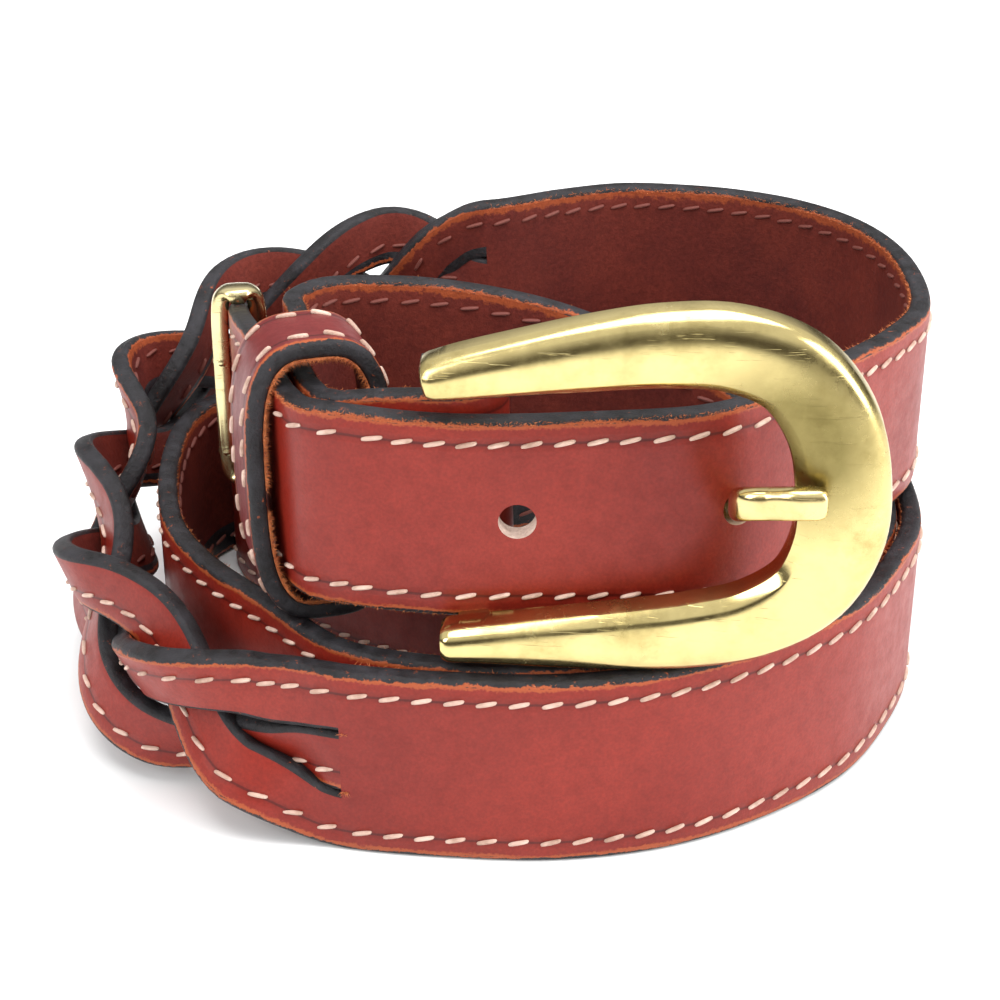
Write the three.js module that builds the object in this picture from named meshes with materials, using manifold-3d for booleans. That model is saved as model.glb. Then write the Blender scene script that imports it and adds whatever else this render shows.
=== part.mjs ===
// A braided leather belt, buckled and coiled on its edge: one bridle leather strap that is slit into
// three plaited strands on one side, a brass horseshoe buckle with its prong, a leather keeper and a
// small brass loop near the tip. Millimetres, +Z up, +Y away from the front of the coil.
import * as THREE from 'three';
import { mergeVertices } from 'three/addons/utils/BufferGeometryUtils.js';
import Module from 'manifold-3d';

const wasm = await Module();
wasm.setup();

// Strap
const STRAP_WIDTH = 25.4;
const STRAP_THICKNESS = 2.7;
const STRAP_STEP = 4;
const TURN_GAP = 0.5;
const STOREY_GAP = 0.4;
const PIECE_GAP = 0.3;

// Coil, measured over the outer faces of the strap
const COIL_WIDTH = 119;
const COIL_DEPTH = 98;

// Plait
const STRAND_WIDTH = 8;
const STRAND_STEP = 2.4;
const PLAIT_DEPTH = 2.9;
const PLAIT_TWIST = 28;
const PLAIT_NARROWING = 0.22;
const PLAIT_BLEND = 11;

// Holes
const HOLE_COUNT = 3;
const HOLE_SPACING = 25.4;
const HOLE_DIAMETER = 4.4;
const FIRST_HOLE_FROM_TIP = 80.8;
const TIP_POINT_LENGTH = 26;
const TIP_END_WIDTH = 0.3;

// Buckle
const BUCKLE_LENGTH = 52;
const BUCKLE_HEIGHT = 44.8;
const BUCKLE_THICKNESS = 5;
const BOW_WIDTH = 10.6;
const BAR_RADIUS = 1.9;
const BAR_SLACK = 1.5;
const BAR_INSET = 3.4;
const BUCKLE_TILT = 6.8;
const BUCKLE_RAISE = 1.1;
const BUCKLE_YAW = 3;
const BUCKLE_STANDOFF = 0.7;
const EAR_LENGTH = 5.6;
const EAR_WIDTH = 2.4;
const RETURN_LENGTH = 8;
const SLOT_HEIGHT = 6.4;

// Prong
const PRONG_WIDTH = 3.8;
const PRONG_THICKNESS = 2.6;
const PRONG_EYE_WALL = 2.2;
const PRONG_OVERHANG = 3.2;

// Keeper
const KEEPER_WIDTH = 12.5;
const KEEPER_THICKNESS = 2.2;
const KEEPER_DEPTH = 18;
const KEEPER_HEIGHT = 34.4;
const KEEPER_SLACK = 1.4;
const KEEPER_FROM_TIP = 46;

// Brass loop
const LOOP_WIRE = 2.2;
const LOOP_DEPTH = 7.4;
const LOOP_SLACK = 1.6;
const LOOP_FROM_TIP = 12;

// The strap's outer face seen from above. x and y are shares of half the coil's width and depth, inset
// is how many strap thicknesses the turn lies inside that line, level is how many strap widths it
// stands above the floor, and lean is the inward tilt of the top edge in degrees.
const FLOOR_REAR = [
  { x: -0.600, y: 0.670 },
  { x: -0.437, y: 0.710 },
  { x: -0.200, y: 0.735 },
  { x: 0.034, y: 0.796 },
  { x: 0.235, y: 0.878 },
  { x: 0.420, y: 0.918 },
  { x: 0.605, y: 0.888 },
  { x: 0.773, y: 0.776 },
  { x: 0.900, y: 0.582 },
  { x: 0.961, y: 0.347 },
  { x: 0.983, y: 0.102 },
];

const FLOOR_FRONT = [
  { x: 0.971, y: -0.192 },
  { x: 0.900, y: -0.408 },
  { x: 0.782, y: -0.633 },
  { x: 0.613, y: -0.806 },
  { x: 0.403, y: -0.939 },
  { x: 0.168, y: -0.998 },
  { x: -0.067, y: -0.988 },
];

const LEFT_CURVE = [
  { x: -0.303, y: -0.822 },
  { x: -0.447, y: -0.627 },
  { x: -0.595, y: -0.424 },
  { x: -0.692, y: -0.220 },
  { x: -0.739, y: 0.039 },
  { x: -0.750, y: 0.286 },
  { x: -0.738, y: 0.430 },
  { x: -0.700, y: 0.560 },
];

const BUCKLE_END = [
  { x: -0.050, y: -0.849, level: 1.225 },
  { x: -0.168, y: -0.837, level: 1.215 },
];

const CORNER = [
  { x: -0.269, y: -0.816, level: 1.185 },
  { x: -0.345, y: -0.765, level: 1.17 },
  { x: -0.393, y: -0.673, level: 1.16 },
  { x: -0.425, y: -0.551, level: 1.14 },
  { x: -0.457, y: -0.388, level: 1.11 },
];

const INNER_TURN = [
  { x: -0.438, y: -0.060, level: 1.03, inset: 0.4 },
  { x: -0.434, y: 0.120, level: 1.01 },
  { x: -0.365, y: 0.235, level: 1.00 },
  { x: -0.185, y: 0.275, level: 0.98 },
  { x: 0.000, y: 0.280, level: 0.92 },
  { x: 0.200, y: 0.275, level: 0.79 },
  { x: 0.420, y: 0.215, level: 0.60 },
  { x: 0.620, y: 0.050, level: 0.42 },
  { x: 0.690, y: -0.180, level: 0.30 },
  { x: 0.610, y: -0.400, level: 0.24 },
  { x: 0.390, y: -0.530, level: 0.21 },
  { x: 0.135, y: -0.500, level: 0.19 },
  { x: -0.148, y: -0.265, level: 0.15 },
  { x: -0.345, y: -0.030, level: 0.03 },
  { x: -0.455, y: 0.140 },
  { x: -0.555, y: 0.300 },
  { x: -0.615, y: 0.450 },
  { x: -0.625, y: 0.550 },
];

const PLAIT = [
  { x: -0.277, y: -0.951, inset: 0 },
  { x: -0.430, y: -0.890 },
  { x: -0.570, y: -0.795, level: 0.03 },
  { x: -0.680, y: -0.675, level: 0.06 },
  { x: -0.770, y: -0.530, level: 0.07 },
  { x: -0.840, y: -0.370, level: 0.07 },
  { x: -0.880, y: -0.190, level: 0.10 },
  { x: -0.890, y: 0.010, level: 0.15 },
  { x: -0.878, y: 0.215, level: 0.22 },
  { x: -0.868, y: 0.420, level: 0.31 },
  { x: -0.812, y: 0.610, level: 0.43 },
  { x: -0.700, y: 0.775, level: 0.57 },
  { x: -0.560, y: 0.880, level: 0.71 },
  { x: -0.380, y: 0.930, level: 0.84 },
  { x: -0.180, y: 0.915, level: 0.95 },
];

const TIP_TURN = [
  { x: 0.010, y: 0.850, level: 1 },
  { x: 0.190, y: 0.945, level: 1 },
  { x: 0.345, y: 1.000, level: 1 },
  { x: 0.500, y: 0.985, level: 1 },
  { x: 0.640, y: 0.940, level: 1 },
  { x: 0.780, y: 0.850, level: 1 },
  { x: 0.905, y: 0.690, level: 1 },
  { x: 0.978, y: 0.480, level: 1 },
  { x: 1.000, y: 0.220, level: 1 },
  { x: 0.975, y: 0.000, level: 1.01 },
  { x: 0.890, y: -0.190, level: 1.03 },
  { x: 0.760, y: -0.420, level: 1.07, lean: 3 },
  { x: 0.655, y: -0.620, level: 1.13, lean: 5 },
  { x: 0.545, y: -0.765, level: 1.17, lean: 5 },
  { x: 0.423, y: -0.835, level: 1.175, lean: 4 },
  { x: 0.235, y: -0.848, level: 1.165, lean: 2 },
  { x: 0.080, y: -0.850, level: 1.16 },
  { x: -0.050, y: -0.849, level: 1.16 },
  { x: -0.168, y: -0.837, level: 1.17 },
];

const TIP_END = [
  { x: -0.497, y: -0.224, level: 1.07 },
  { x: -0.535, y: -0.061, level: 1.02 },
  { x: -0.562, y: 0.122, level: 0.98 },
  { x: -0.568, y: 0.347, level: 0.94 },
];

// How far the plait has turned, in whole turns of a strand, against the share of its length.
const PLAIT_TURNS = [
  { along: 0, turns: 0 },
  { along: 0.055, turns: 0.083 },
  { along: 0.215, turns: 0.417 },
  { along: 0.43, turns: 0.750 },
  { along: 0.58, turns: 1.083 },
  { along: 0.735, turns: 1.417 },
  { along: 0.90, turns: 1.750 },
  { along: 1, turns: 2 },
];

// Centre line of the upper half of the buckle's bow: along is a share of the buckle's length, across a
// share of half its height, and width a share of the bow's width.
const BOW = [
  { along: 0.000, across: 0.745, width: 0.42 },
  { along: 0.115, across: 0.760, width: 0.52 },
  { along: 0.250, across: 0.780, width: 0.64 },
  { along: 0.405, across: 0.798, width: 0.76 },
  { along: 0.555, across: 0.800, width: 0.84 },
  { along: 0.695, across: 0.755, width: 0.88 },
  { along: 0.815, across: 0.605, width: 0.92 },
  { along: 0.885, across: 0.330, width: 0.98 },
  { along: 0.903, across: 0.000, width: 1.00 },
];

const STOREY = STRAP_WIDTH + STOREY_GAP;
const PITCH = STRAP_THICKNESS + TURN_GAP;
const UP = new THREE.Vector3(0, 0, 1);

function withInset(rows, inset) {
  return rows.map((row) => ({ ...row, inset }));
}

// A closed solid through a list of rings of points, with flat fans over both ends, or with its last
// ring joined to its first one. Its faces point out whichever way the rings run.
function loft(rings, looped = false) {
  const size = rings[0].length;
  const points = rings.flat();
  const faces = [];
  const spans = looped ? rings.length : rings.length - 1;
  for (let r = 0; r < spans; r += 1) {
    const here = r * size;
    const there = ((r + 1) % rings.length) * size;
    for (let i = 0; i < size; i += 1) {
      const j = (i + 1) % size;
      faces.push([here + i, here + j, there + j], [here + i, there + j, there + i]);
    }
  }
  const last = (rings.length - 1) * size;
  for (let i = 1; i + 1 < size && !looped; i += 1) {
    faces.push([0, i + 1, i], [last, last + i, last + i + 1]);
  }
  const volume = faces.reduce((sum, [a, b, c]) => sum
    + points[a].dot(points[b].clone().cross(points[c])), 0);
  if (volume < 0) faces.forEach((face) => face.reverse());
  const geometry = new THREE.BufferGeometry().setFromPoints(points);
  geometry.setIndex(faces.flat());
  return geometry;
}

function toSolid(geometry) {
  const bare = geometry.clone();
  bare.deleteAttribute('normal');
  bare.deleteAttribute('uv');
  const merged = mergeVertices(bare, 1e-4);
  const mesh = new wasm.Mesh({
    numProp: 3,
    vertProperties: new Float32Array(merged.attributes.position.array),
    triVerts: new Uint32Array(merged.index.array),
  });
  return new wasm.Manifold(mesh);
}

function toGeometry(solid) {
  const mesh = solid.getMesh();
  const geometry = new THREE.BufferGeometry();
  geometry.setAttribute('position', new THREE.Float32BufferAttribute(mesh.vertProperties, 3));
  geometry.setIndex(Array.from(mesh.triVerts));
  return geometry;
}

function placed(geometry, matrix) {
  return geometry.clone().applyMatrix4(matrix);
}

// The whole belt as one line: its centre points with the directions along, up and outward.
function beltLine(rows) {
  const outer = new THREE.CatmullRomCurve3(
    rows.map((row) => new THREE.Vector3(
      (row.x * COIL_WIDTH) / 2,
      (row.y * COIL_DEPTH) / 2,
      (row.level ?? 0) * STOREY,
    )),
    false,
    'centripetal',
  );
  const perRow = 12;
  const count = (rows.length - 1) * perRow;
  const line = [];
  for (let i = 0; i <= count; i += 1) {
    const index = Math.min(Math.floor(i / perRow), rows.length - 2);
    const blend = THREE.MathUtils.smoothstep(i / perRow - index, 0, 1);
    const inset = THREE.MathUtils.lerp(rows[index].inset ?? 0, rows[index + 1].inset ?? 0, blend);
    const lean = THREE.MathUtils.degToRad(
      THREE.MathUtils.lerp(rows[index].lean ?? 0, rows[index + 1].lean ?? 0, blend),
    );
    const along = outer.getTangent(i / count);
    const outward = new THREE.Vector3(-along.y, along.x, 0).normalize();
    const up = UP.clone().multiplyScalar(Math.cos(lean)).addScaledVector(outward, -Math.sin(lean));
    const centre = outer.getPoint(i / count);
    centre.z += (STRAP_WIDTH / 2) * Math.cos(lean);
    centre.addScaledVector(outward, -(STRAP_THICKNESS / 2 + inset * PITCH));
    line.push({ centre, up });
  }
  let length = 0;
  line.forEach((sample, i) => {
    const before = line[Math.max(i - 1, 0)].centre;
    const after = line[Math.min(i + 1, count)].centre;
    length += sample.centre.distanceTo(before);
    sample.length = length;
    sample.along = after.clone().sub(before).normalize();
    sample.up.addScaledVector(sample.along, -sample.up.dot(sample.along)).normalize();
    sample.out = sample.up.clone().cross(sample.along).normalize();
  });
  line.lengthAtRow = (row) => line[row * perRow].length;
  return line;
}

function stationAt(line, length) {
  let high = line.findIndex((sample) => sample.length >= length);
  if (high < 0) high = line.length - 1;
  high = Math.max(high, 1);
  const a = line[high - 1];
  const b = line[high];
  const share = THREE.MathUtils.clamp((length - a.length) / (b.length - a.length), 0, 1);
  return {
    centre: a.centre.clone().lerp(b.centre, share),
    up: a.up.clone().lerp(b.up, share).normalize(),
    out: a.out.clone().lerp(b.out, share).normalize(),
    along: a.along.clone().lerp(b.along, share).normalize(),
  };
}

function strapRing(station, width, thickness) {
  const corners = [[0.5, 0.5], [0.5, -0.5], [-0.5, -0.5], [-0.5, 0.5]];
  return corners.map(([across, through]) => station.centre.clone()
    .addScaledVector(station.up, across * width)
    .addScaledVector(station.out, through * thickness));
}

function evenLengths(from, to, step) {
  const pieces = Math.max(2, Math.round((to - from) / step));
  return Array.from({ length: pieces + 1 }, (_, i) => THREE.MathUtils.lerp(from, to, i / pieces));
}

// The belt's route, from the buckle's bar round three turns to the plait, and on to the tip
const ROUTE = [
  ...withInset(BUCKLE_END, 1),
  ...withInset(CORNER, 1),
  ...INNER_TURN,
  ...withInset(FLOOR_REAR, 1),
  ...withInset(FLOOR_FRONT, 1),
  ...LEFT_CURVE,
  ...FLOOR_REAR,
  ...FLOOR_FRONT,
  ...PLAIT,
  ...TIP_TURN,
  ...CORNER,
  ...TIP_END,
];
const plaitRow = ROUTE.indexOf(PLAIT[0]);
const line = beltLine(ROUTE);
const plaitStart = line.lengthAtRow(plaitRow);
const plaitEnd = line.lengthAtRow(plaitRow + PLAIT.length);
const beltEnd = line[line.length - 1].length;

// Bar: behind the tip and behind the fold of the buckle's end
const foldRadius = BAR_RADIUS + BAR_SLACK + STRAP_THICKNESS / 2;
const foldStation = stationAt(line, 0);
const barCentre = foldStation.centre.clone().addScaledVector(foldStation.out, -foldRadius);

// Buckle's own frame: x from the bar's end to the bow, y away from the front, z across
const buckleFrame = new THREE.Matrix4()
  .makeTranslation(barCentre.x, barCentre.y, barCentre.z + BUCKLE_RAISE)
  .multiply(new THREE.Matrix4().makeRotationZ(THREE.MathUtils.degToRad(-BUCKLE_YAW)))
  .multiply(new THREE.Matrix4().makeRotationY(THREE.MathUtils.degToRad(-BUCKLE_TILT)));
const plateMiddle = -(BAR_RADIUS + BAR_SLACK + 2 * STRAP_THICKNESS + TURN_GAP + BUCKLE_STANDOFF + BUCKLE_THICKNESS / 2);

function bowStations() {
  const half = BOW.map((row) => new THREE.Vector3(
    row.along * BUCKLE_LENGTH - BAR_INSET,
    row.width * BOW_WIDTH,
    (row.across * BUCKLE_HEIGHT) / 2,
  ));
  const other = half.slice(0, -1).reverse().map((point) => new THREE.Vector3(point.x, point.y, -point.z));
  const curve = new THREE.CatmullRomCurve3([...half, ...other], false, 'centripetal');
  const stations = [];
  const steps = 44;
  for (let i = 0; i <= steps; i += 1) {
    const point = curve.getPointAt(i / steps);
    const before = curve.getPointAt(Math.max(i / steps - 0.004, 0));
    const after = curve.getPointAt(Math.min(i / steps + 0.004, 1));
    const across = new THREE.Vector3(before.z - after.z, 0, after.x - before.x).normalize();
    stations.push({ centre: new THREE.Vector3(point.x, plateMiddle, point.z), across, width: point.y });
  }
  return stations;
}

// Domed front, bevelled sides and a flat back
const BOW_SECTION = [
  [-0.50, -0.05], [-0.42, -0.32], [-0.22, -0.47], [0.00, -0.50], [0.22, -0.47], [0.42, -0.32],
  [0.50, -0.05], [0.46, 0.40], [0.38, 0.50], [-0.38, 0.50], [-0.46, 0.40],
];

function buckle() {
  const rings = bowStations().map((station) => BOW_SECTION.map(([across, through]) => station.centre.clone()
    .addScaledVector(station.across, across * station.width)
    .add(new THREE.Vector3(0, through * BUCKLE_THICKNESS, 0))));
  const earCentre = (BOW[0].across * BUCKLE_HEIGHT + BOW[0].width * BOW_WIDTH - EAR_WIDTH) / 2;
  const earDepth = -plateMiddle + BAR_RADIUS;
  const bar = new THREE.CylinderGeometry(BAR_RADIUS, BAR_RADIUS, 2 * earCentre, 16).rotateX(Math.PI / 2);
  let solid = toSolid(loft(rings)).add(toSolid(bar));
  [-1, 1].forEach((side) => {
    const ear = new THREE.BoxGeometry(EAR_LENGTH, earDepth, EAR_WIDTH)
      .translate(0, BAR_RADIUS - earDepth / 2, side * earCentre);
    solid = solid.add(toSolid(ear));
  });
  return placed(toGeometry(solid), buckleFrame);
}

// Buckle end: the return, the fold round the bar and three turns up to the plait, slit for the prong
function buckleStrap() {
  const rings = [];
  const start = foldStation;
  const returnSteps = 3;
  for (let i = returnSteps; i >= 1; i -= 1) {
    const centre = barCentre.clone()
      .addScaledVector(start.out, -foldRadius)
      .addScaledVector(start.along, (i / returnSteps) * RETURN_LENGTH);
    rings.push(strapRing({ centre, up: start.up, out: start.out.clone().negate() }, STRAP_WIDTH, STRAP_THICKNESS));
  }
  const foldSteps = 12;
  for (let i = 0; i < foldSteps; i += 1) {
    const angle = Math.PI * (i / foldSteps);
    const out = start.out.clone().multiplyScalar(-Math.cos(angle)).addScaledVector(start.along, -Math.sin(angle));
    const centre = barCentre.clone().addScaledVector(out, foldRadius);
    rings.push(strapRing({ centre, up: start.up, out }, STRAP_WIDTH, STRAP_THICKNESS));
  }
  evenLengths(0, plaitStart - PIECE_GAP / 2, STRAP_STEP)
    .forEach((length) => rings.push(strapRing(stationAt(line, length), STRAP_WIDTH, STRAP_THICKNESS)));
  const slotReach = 2 * (foldRadius + STRAP_THICKNESS);
  const slot = new THREE.BoxGeometry(slotReach, slotReach, SLOT_HEIGHT)
    .translate(barCentre.x + slotReach / 2 - BAR_RADIUS - PRONG_EYE_WALL - 2 * PIECE_GAP, barCentre.y, barCentre.z);
  return toGeometry(toSolid(loft(rings)).subtract(toSolid(slot)));
}

// The strap's width, which narrows to a rounded point over the last part
function widthAt(length) {
  const share = THREE.MathUtils.clamp((beltEnd - length) / TIP_POINT_LENGTH, 0, 1);
  return STRAP_WIDTH * THREE.MathUtils.lerp(TIP_END_WIDTH, 1, Math.sqrt(1 - (1 - share) ** 2));
}

// Tip end: punched with a row of holes and cut to a rounded point
function tipStrap() {
  const rings = evenLengths(plaitEnd + PIECE_GAP / 2, beltEnd, STRAP_STEP)
    .map((length) => strapRing(stationAt(line, length), widthAt(length), STRAP_THICKNESS));
  let solid = toSolid(loft(rings));
  for (let i = 0; i < HOLE_COUNT; i += 1) {
    const station = stationAt(line, beltEnd - FIRST_HOLE_FROM_TIP - i * HOLE_SPACING);
    const punch = new THREE.CylinderGeometry(HOLE_DIAMETER / 2, HOLE_DIAMETER / 2, 3 * STRAP_THICKNESS, 12);
    const turn = new THREE.Matrix4().makeBasis(station.along, station.out, station.along.clone().cross(station.out));
    solid = solid.subtract(toSolid(placed(punch, turn.setPosition(station.centre))));
  }
  return toGeometry(solid.subtract(prongShank(PIECE_GAP)));
}

function turnsAt(share) {
  const next = Math.max(PLAIT_TURNS.findIndex((row) => row.along >= share), 1);
  const a = PLAIT_TURNS[next - 1];
  const b = PLAIT_TURNS[next];
  return THREE.MathUtils.mapLinear(share, a.along, b.along, a.turns, b.turns);
}

// One plaited strand: it swings across the strap's width and goes over and under the other two
function strandStation(start, length) {
  const from = plaitStart + PIECE_GAP / 2;
  const to = plaitEnd - PIECE_GAP / 2;
  const turn = start + turnsAt(THREE.MathUtils.clamp((length - from) / (to - from), 0, 1));
  const phase = 2 * Math.PI * turn;
  const nearEnd = Math.min(length - from, to - length);
  const spread = THREE.MathUtils.smoothstep(nearEnd, 0, PLAIT_BLEND);
  const slot = STRAP_WIDTH / 3 / Math.sin(Math.PI / 3);
  const across = slot * (1 - PLAIT_NARROWING * spread) * Math.sin(phase);
  const through = -PLAIT_DEPTH * spread * Math.sin(2 * phase);
  const base = stationAt(line, length);
  return {
    centre: base.centre.clone().addScaledVector(base.up, across).addScaledVector(base.out, through),
    base,
    spread,
    twist: THREE.MathUtils.degToRad(PLAIT_TWIST) * spread * Math.cos(phase),
  };
}

function strand(start, clearance) {
  const lengths = evenLengths(plaitStart + PIECE_GAP / 2, plaitEnd - PIECE_GAP / 2, STRAND_STEP);
  const stations = lengths.map((length) => strandStation(start, length));
  const rings = stations.map((station, i) => {
    const before = stations[Math.max(i - 1, 0)].centre;
    const after = stations[Math.min(i + 1, stations.length - 1)].centre;
    const along = station.base.along.clone().lerp(after.clone().sub(before).normalize(), station.spread).normalize();
    const up = station.base.up.clone();
    up.addScaledVector(along, -up.dot(along)).normalize();
    up.applyAxisAngle(along, station.twist);
    const out = up.clone().cross(along).normalize();
    return strapRing({ centre: station.centre, up, out }, STRAND_WIDTH + 2 * clearance, STRAP_THICKNESS + 2 * clearance);
  });
  return toSolid(loft(rings));
}

// The strands press into each other where they cross, so each one gives way to those laid before it
function plait() {
  const laid = [];
  return [1 / 6, 1 / 2, 5 / 6].map((start) => {
    const pressed = laid.reduce((solid, earlier) => solid.subtract(strand(earlier, PIECE_GAP)), strand(start, 0));
    laid.push(start);
    return toGeometry(pressed);
  });
}

// Prong: an eye round the bar, a shank behind the tip, up through a hole and over the bow
function prongShank(clearance) {
  const hole = stationAt(line, beltEnd - FIRST_HOLE_FROM_TIP - HOLE_SPACING);
  const bow = BOW[BOW.length - 1];
  const innerEdge = new THREE.Vector3(
    bow.along * BUCKLE_LENGTH - BAR_INSET - BOW_WIDTH / 2,
    plateMiddle - BUCKLE_THICKNESS / 2 - PRONG_THICKNESS / 2 - PIECE_GAP,
    0,
  ).applyMatrix4(buckleFrame);
  const shankStart = barCentre.clone().add(new THREE.Vector3(BAR_RADIUS + PIECE_GAP + PRONG_EYE_WALL / 2, 0, 0));
  const behind = hole.centre.clone().addScaledVector(hole.out, -(STRAP_THICKNESS / 2 + PRONG_THICKNESS / 2));
  const path = new THREE.CatmullRomCurve3([
    shankStart,
    shankStart.clone().lerp(behind, 0.55).add(new THREE.Vector3(0, PRONG_THICKNESS * 0.7, 0)),
    behind.clone().add(new THREE.Vector3(-PRONG_WIDTH, PRONG_THICKNESS * 0.4, 0)),
    hole.centre.clone(),
    innerEdge,
    innerEdge.clone().add(new THREE.Vector3(PRONG_OVERHANG, 0, 0)),
  ], false, 'centripetal');
  const sides = 8;
  const steps = 30;
  const rings = [];
  for (let i = 0; i <= steps; i += 1) {
    const along = path.getTangentAt(i / steps);
    const up = UP.clone().addScaledVector(along, -along.z).normalize();
    const out = up.clone().cross(along);
    const taper = i > steps - 3 ? 1 - 0.25 * (i - steps + 3) / 3 : 1;
    rings.push(Array.from({ length: sides }, (_, k) => {
      const angle = (2 * Math.PI * (k + 0.5)) / sides;
      return path.getPointAt(i / steps)
        .addScaledVector(up, taper * Math.cos(angle) * (PRONG_WIDTH / 2 + clearance))
        .addScaledVector(out, -taper * Math.sin(angle) * (PRONG_THICKNESS / 2 + clearance));
    }));
  }
  return toSolid(loft(rings));
}

function prong() {
  const outerRadius = BAR_RADIUS + PIECE_GAP + PRONG_EYE_WALL;
  const eye = new THREE.CylinderGeometry(outerRadius, outerRadius, PRONG_WIDTH, 20).rotateX(Math.PI / 2);
  const bore = new THREE.CylinderGeometry(BAR_RADIUS + PIECE_GAP, BAR_RADIUS + PIECE_GAP, 3 * PRONG_WIDTH, 20)
    .rotateX(Math.PI / 2);
  const turned = new THREE.Matrix4().makeRotationY(THREE.MathUtils.degToRad(-BUCKLE_TILT)).setPosition(barCentre);
  return toGeometry(prongShank(0).add(toSolid(placed(eye, turned))).subtract(toSolid(placed(bore, turned))));
}

// A band or wire bent into an upright rounded loop round the strap at one station
function loopRound(station, { depth, height, inward, section, corner, steps }) {
  const rings = [];
  for (let i = 0; i < steps; i += 1) {
    const angle = (2 * Math.PI * i) / steps;
    const across = Math.sign(Math.cos(angle)) * Math.abs(Math.cos(angle)) ** corner;
    const rise = Math.sign(Math.sin(angle)) * Math.abs(Math.sin(angle)) ** corner;
    const normal = new THREE.Vector2(Math.cos(angle) / depth, Math.sin(angle) / height).normalize();
    const centre = station.centre.clone()
      .addScaledVector(station.out, -inward + (across * depth) / 2)
      .addScaledVector(station.up, (rise * height) / 2);
    const outward = station.out.clone().multiplyScalar(normal.x).addScaledVector(station.up, normal.y);
    rings.push(section.map(([side, lift]) => centre.clone()
      .addScaledVector(station.along, side)
      .addScaledVector(outward, lift)));
  }
  return loft(rings, true);
}

function keeper() {
  const station = stationAt(line, beltEnd - KEEPER_FROM_TIP);
  const half = KEEPER_WIDTH / 2;
  const wall = KEEPER_THICKNESS / 2;
  return loopRound(station, {
    depth: KEEPER_DEPTH - KEEPER_THICKNESS,
    height: KEEPER_HEIGHT - KEEPER_THICKNESS,
    inward: KEEPER_DEPTH / 2 - KEEPER_THICKNESS - STRAP_THICKNESS / 2 - KEEPER_SLACK,
    section: [[half, wall], [-half, wall], [-half, -wall], [half, -wall]],
    corner: 0.55,
    steps: 40,
  });
}

function tipLoop() {
  const station = stationAt(line, beltEnd - LOOP_FROM_TIP);
  const sides = 8;
  const section = Array.from({ length: sides }, (_, k) => {
    const angle = -(2 * Math.PI * (k + 0.5)) / sides;
    return [(Math.sin(-angle) * LOOP_WIRE) / 2, (Math.cos(angle) * LOOP_WIRE) / 2];
  });
  return loopRound(station, {
    depth: LOOP_DEPTH - LOOP_WIRE,
    height: widthAt(beltEnd - LOOP_FROM_TIP) + LOOP_SLACK + LOOP_WIRE,
    inward: 0,
    section,
    corner: 0.3,
    steps: 32,
  });
}

const LEATHER = { color: 0x7e2a1c, roughness: 0.5, metalness: 0 };
const BRASS = { color: 0xc9a13c, roughness: 0.25, metalness: 1 };

const [topStrand, middleStrand, bottomStrand] = plait();
const pieces = [
  ['buckle_strap', buckleStrap(), LEATHER],
  ['plait_strand_top', topStrand, LEATHER],
  ['plait_strand_middle', middleStrand, LEATHER],
  ['plait_strand_bottom', bottomStrand, LEATHER],
  ['tip_strap', tipStrap(), LEATHER],
  ['keeper_loop', keeper(), LEATHER],
  ['buckle_frame', buckle(), BRASS],
  ['buckle_prong', prong(), BRASS],
  ['tip_loop', tipLoop(), BRASS],
];

const belt = new THREE.Group();
pieces.forEach(([name, geometry, finish]) => {
  const mesh = new THREE.Mesh(geometry, new THREE.MeshStandardMaterial(finish));
  mesh.name = name;
  belt.add(mesh);
});

// The origin is on the floor under the middle of the belt's box
const box = new THREE.Box3().setFromObject(belt);
const middle = box.getCenter(new THREE.Vector3());
belt.children.forEach((mesh) => mesh.position.set(-middle.x, -middle.y, -box.min.z));

export default belt;
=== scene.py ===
import math
import random
from collections import namedtuple

import bpy
from mathutils import Matrix, Vector


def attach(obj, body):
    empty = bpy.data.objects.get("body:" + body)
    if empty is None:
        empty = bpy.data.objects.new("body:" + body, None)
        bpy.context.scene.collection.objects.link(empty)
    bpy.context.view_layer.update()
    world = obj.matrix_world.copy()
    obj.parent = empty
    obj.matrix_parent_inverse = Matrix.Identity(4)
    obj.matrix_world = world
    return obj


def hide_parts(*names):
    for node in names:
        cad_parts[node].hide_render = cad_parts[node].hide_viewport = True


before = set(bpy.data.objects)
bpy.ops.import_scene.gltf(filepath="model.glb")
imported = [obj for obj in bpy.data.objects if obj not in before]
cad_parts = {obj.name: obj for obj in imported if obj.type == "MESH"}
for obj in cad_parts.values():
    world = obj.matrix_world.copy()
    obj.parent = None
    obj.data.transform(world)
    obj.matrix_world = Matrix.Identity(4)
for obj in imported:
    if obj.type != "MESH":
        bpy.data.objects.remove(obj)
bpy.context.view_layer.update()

bpy.ops.object.select_all(action="DESELECT")

# Camera, floor and light
# The belt stands on a white table top in soft studio light, and the camera looks down on its front.
# Lengths are in millimetres, and the frame shift is how far the belt was moved to stand centred.
MM = 0.001
FRAME_SHIFT = Vector((-1.178, 1.291, 0.046))
CAMERA_HEIGHT = 0.160
CAMERA_DISTANCE = 0.257
CAMERA_SIDE = 0.0025
CAMERA_PITCH = 28
CAMERA_LENS = 77.4
SENSOR_WIDTH = 36
bpy.ops.object.camera_add(
    location=(CAMERA_SIDE + FRAME_SHIFT.x * MM, -CAMERA_DISTANCE + FRAME_SHIFT.y * MM, CAMERA_HEIGHT),
    rotation=(math.radians(90 - CAMERA_PITCH), 0, 0),
)
camera = bpy.context.object
camera.data.lens = CAMERA_LENS
camera.data.sensor_width = SENSOR_WIDTH
camera.data.clip_start = 0.01
bpy.context.scene.camera = camera
bpy.context.scene.view_settings.view_transform = "Standard"

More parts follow.
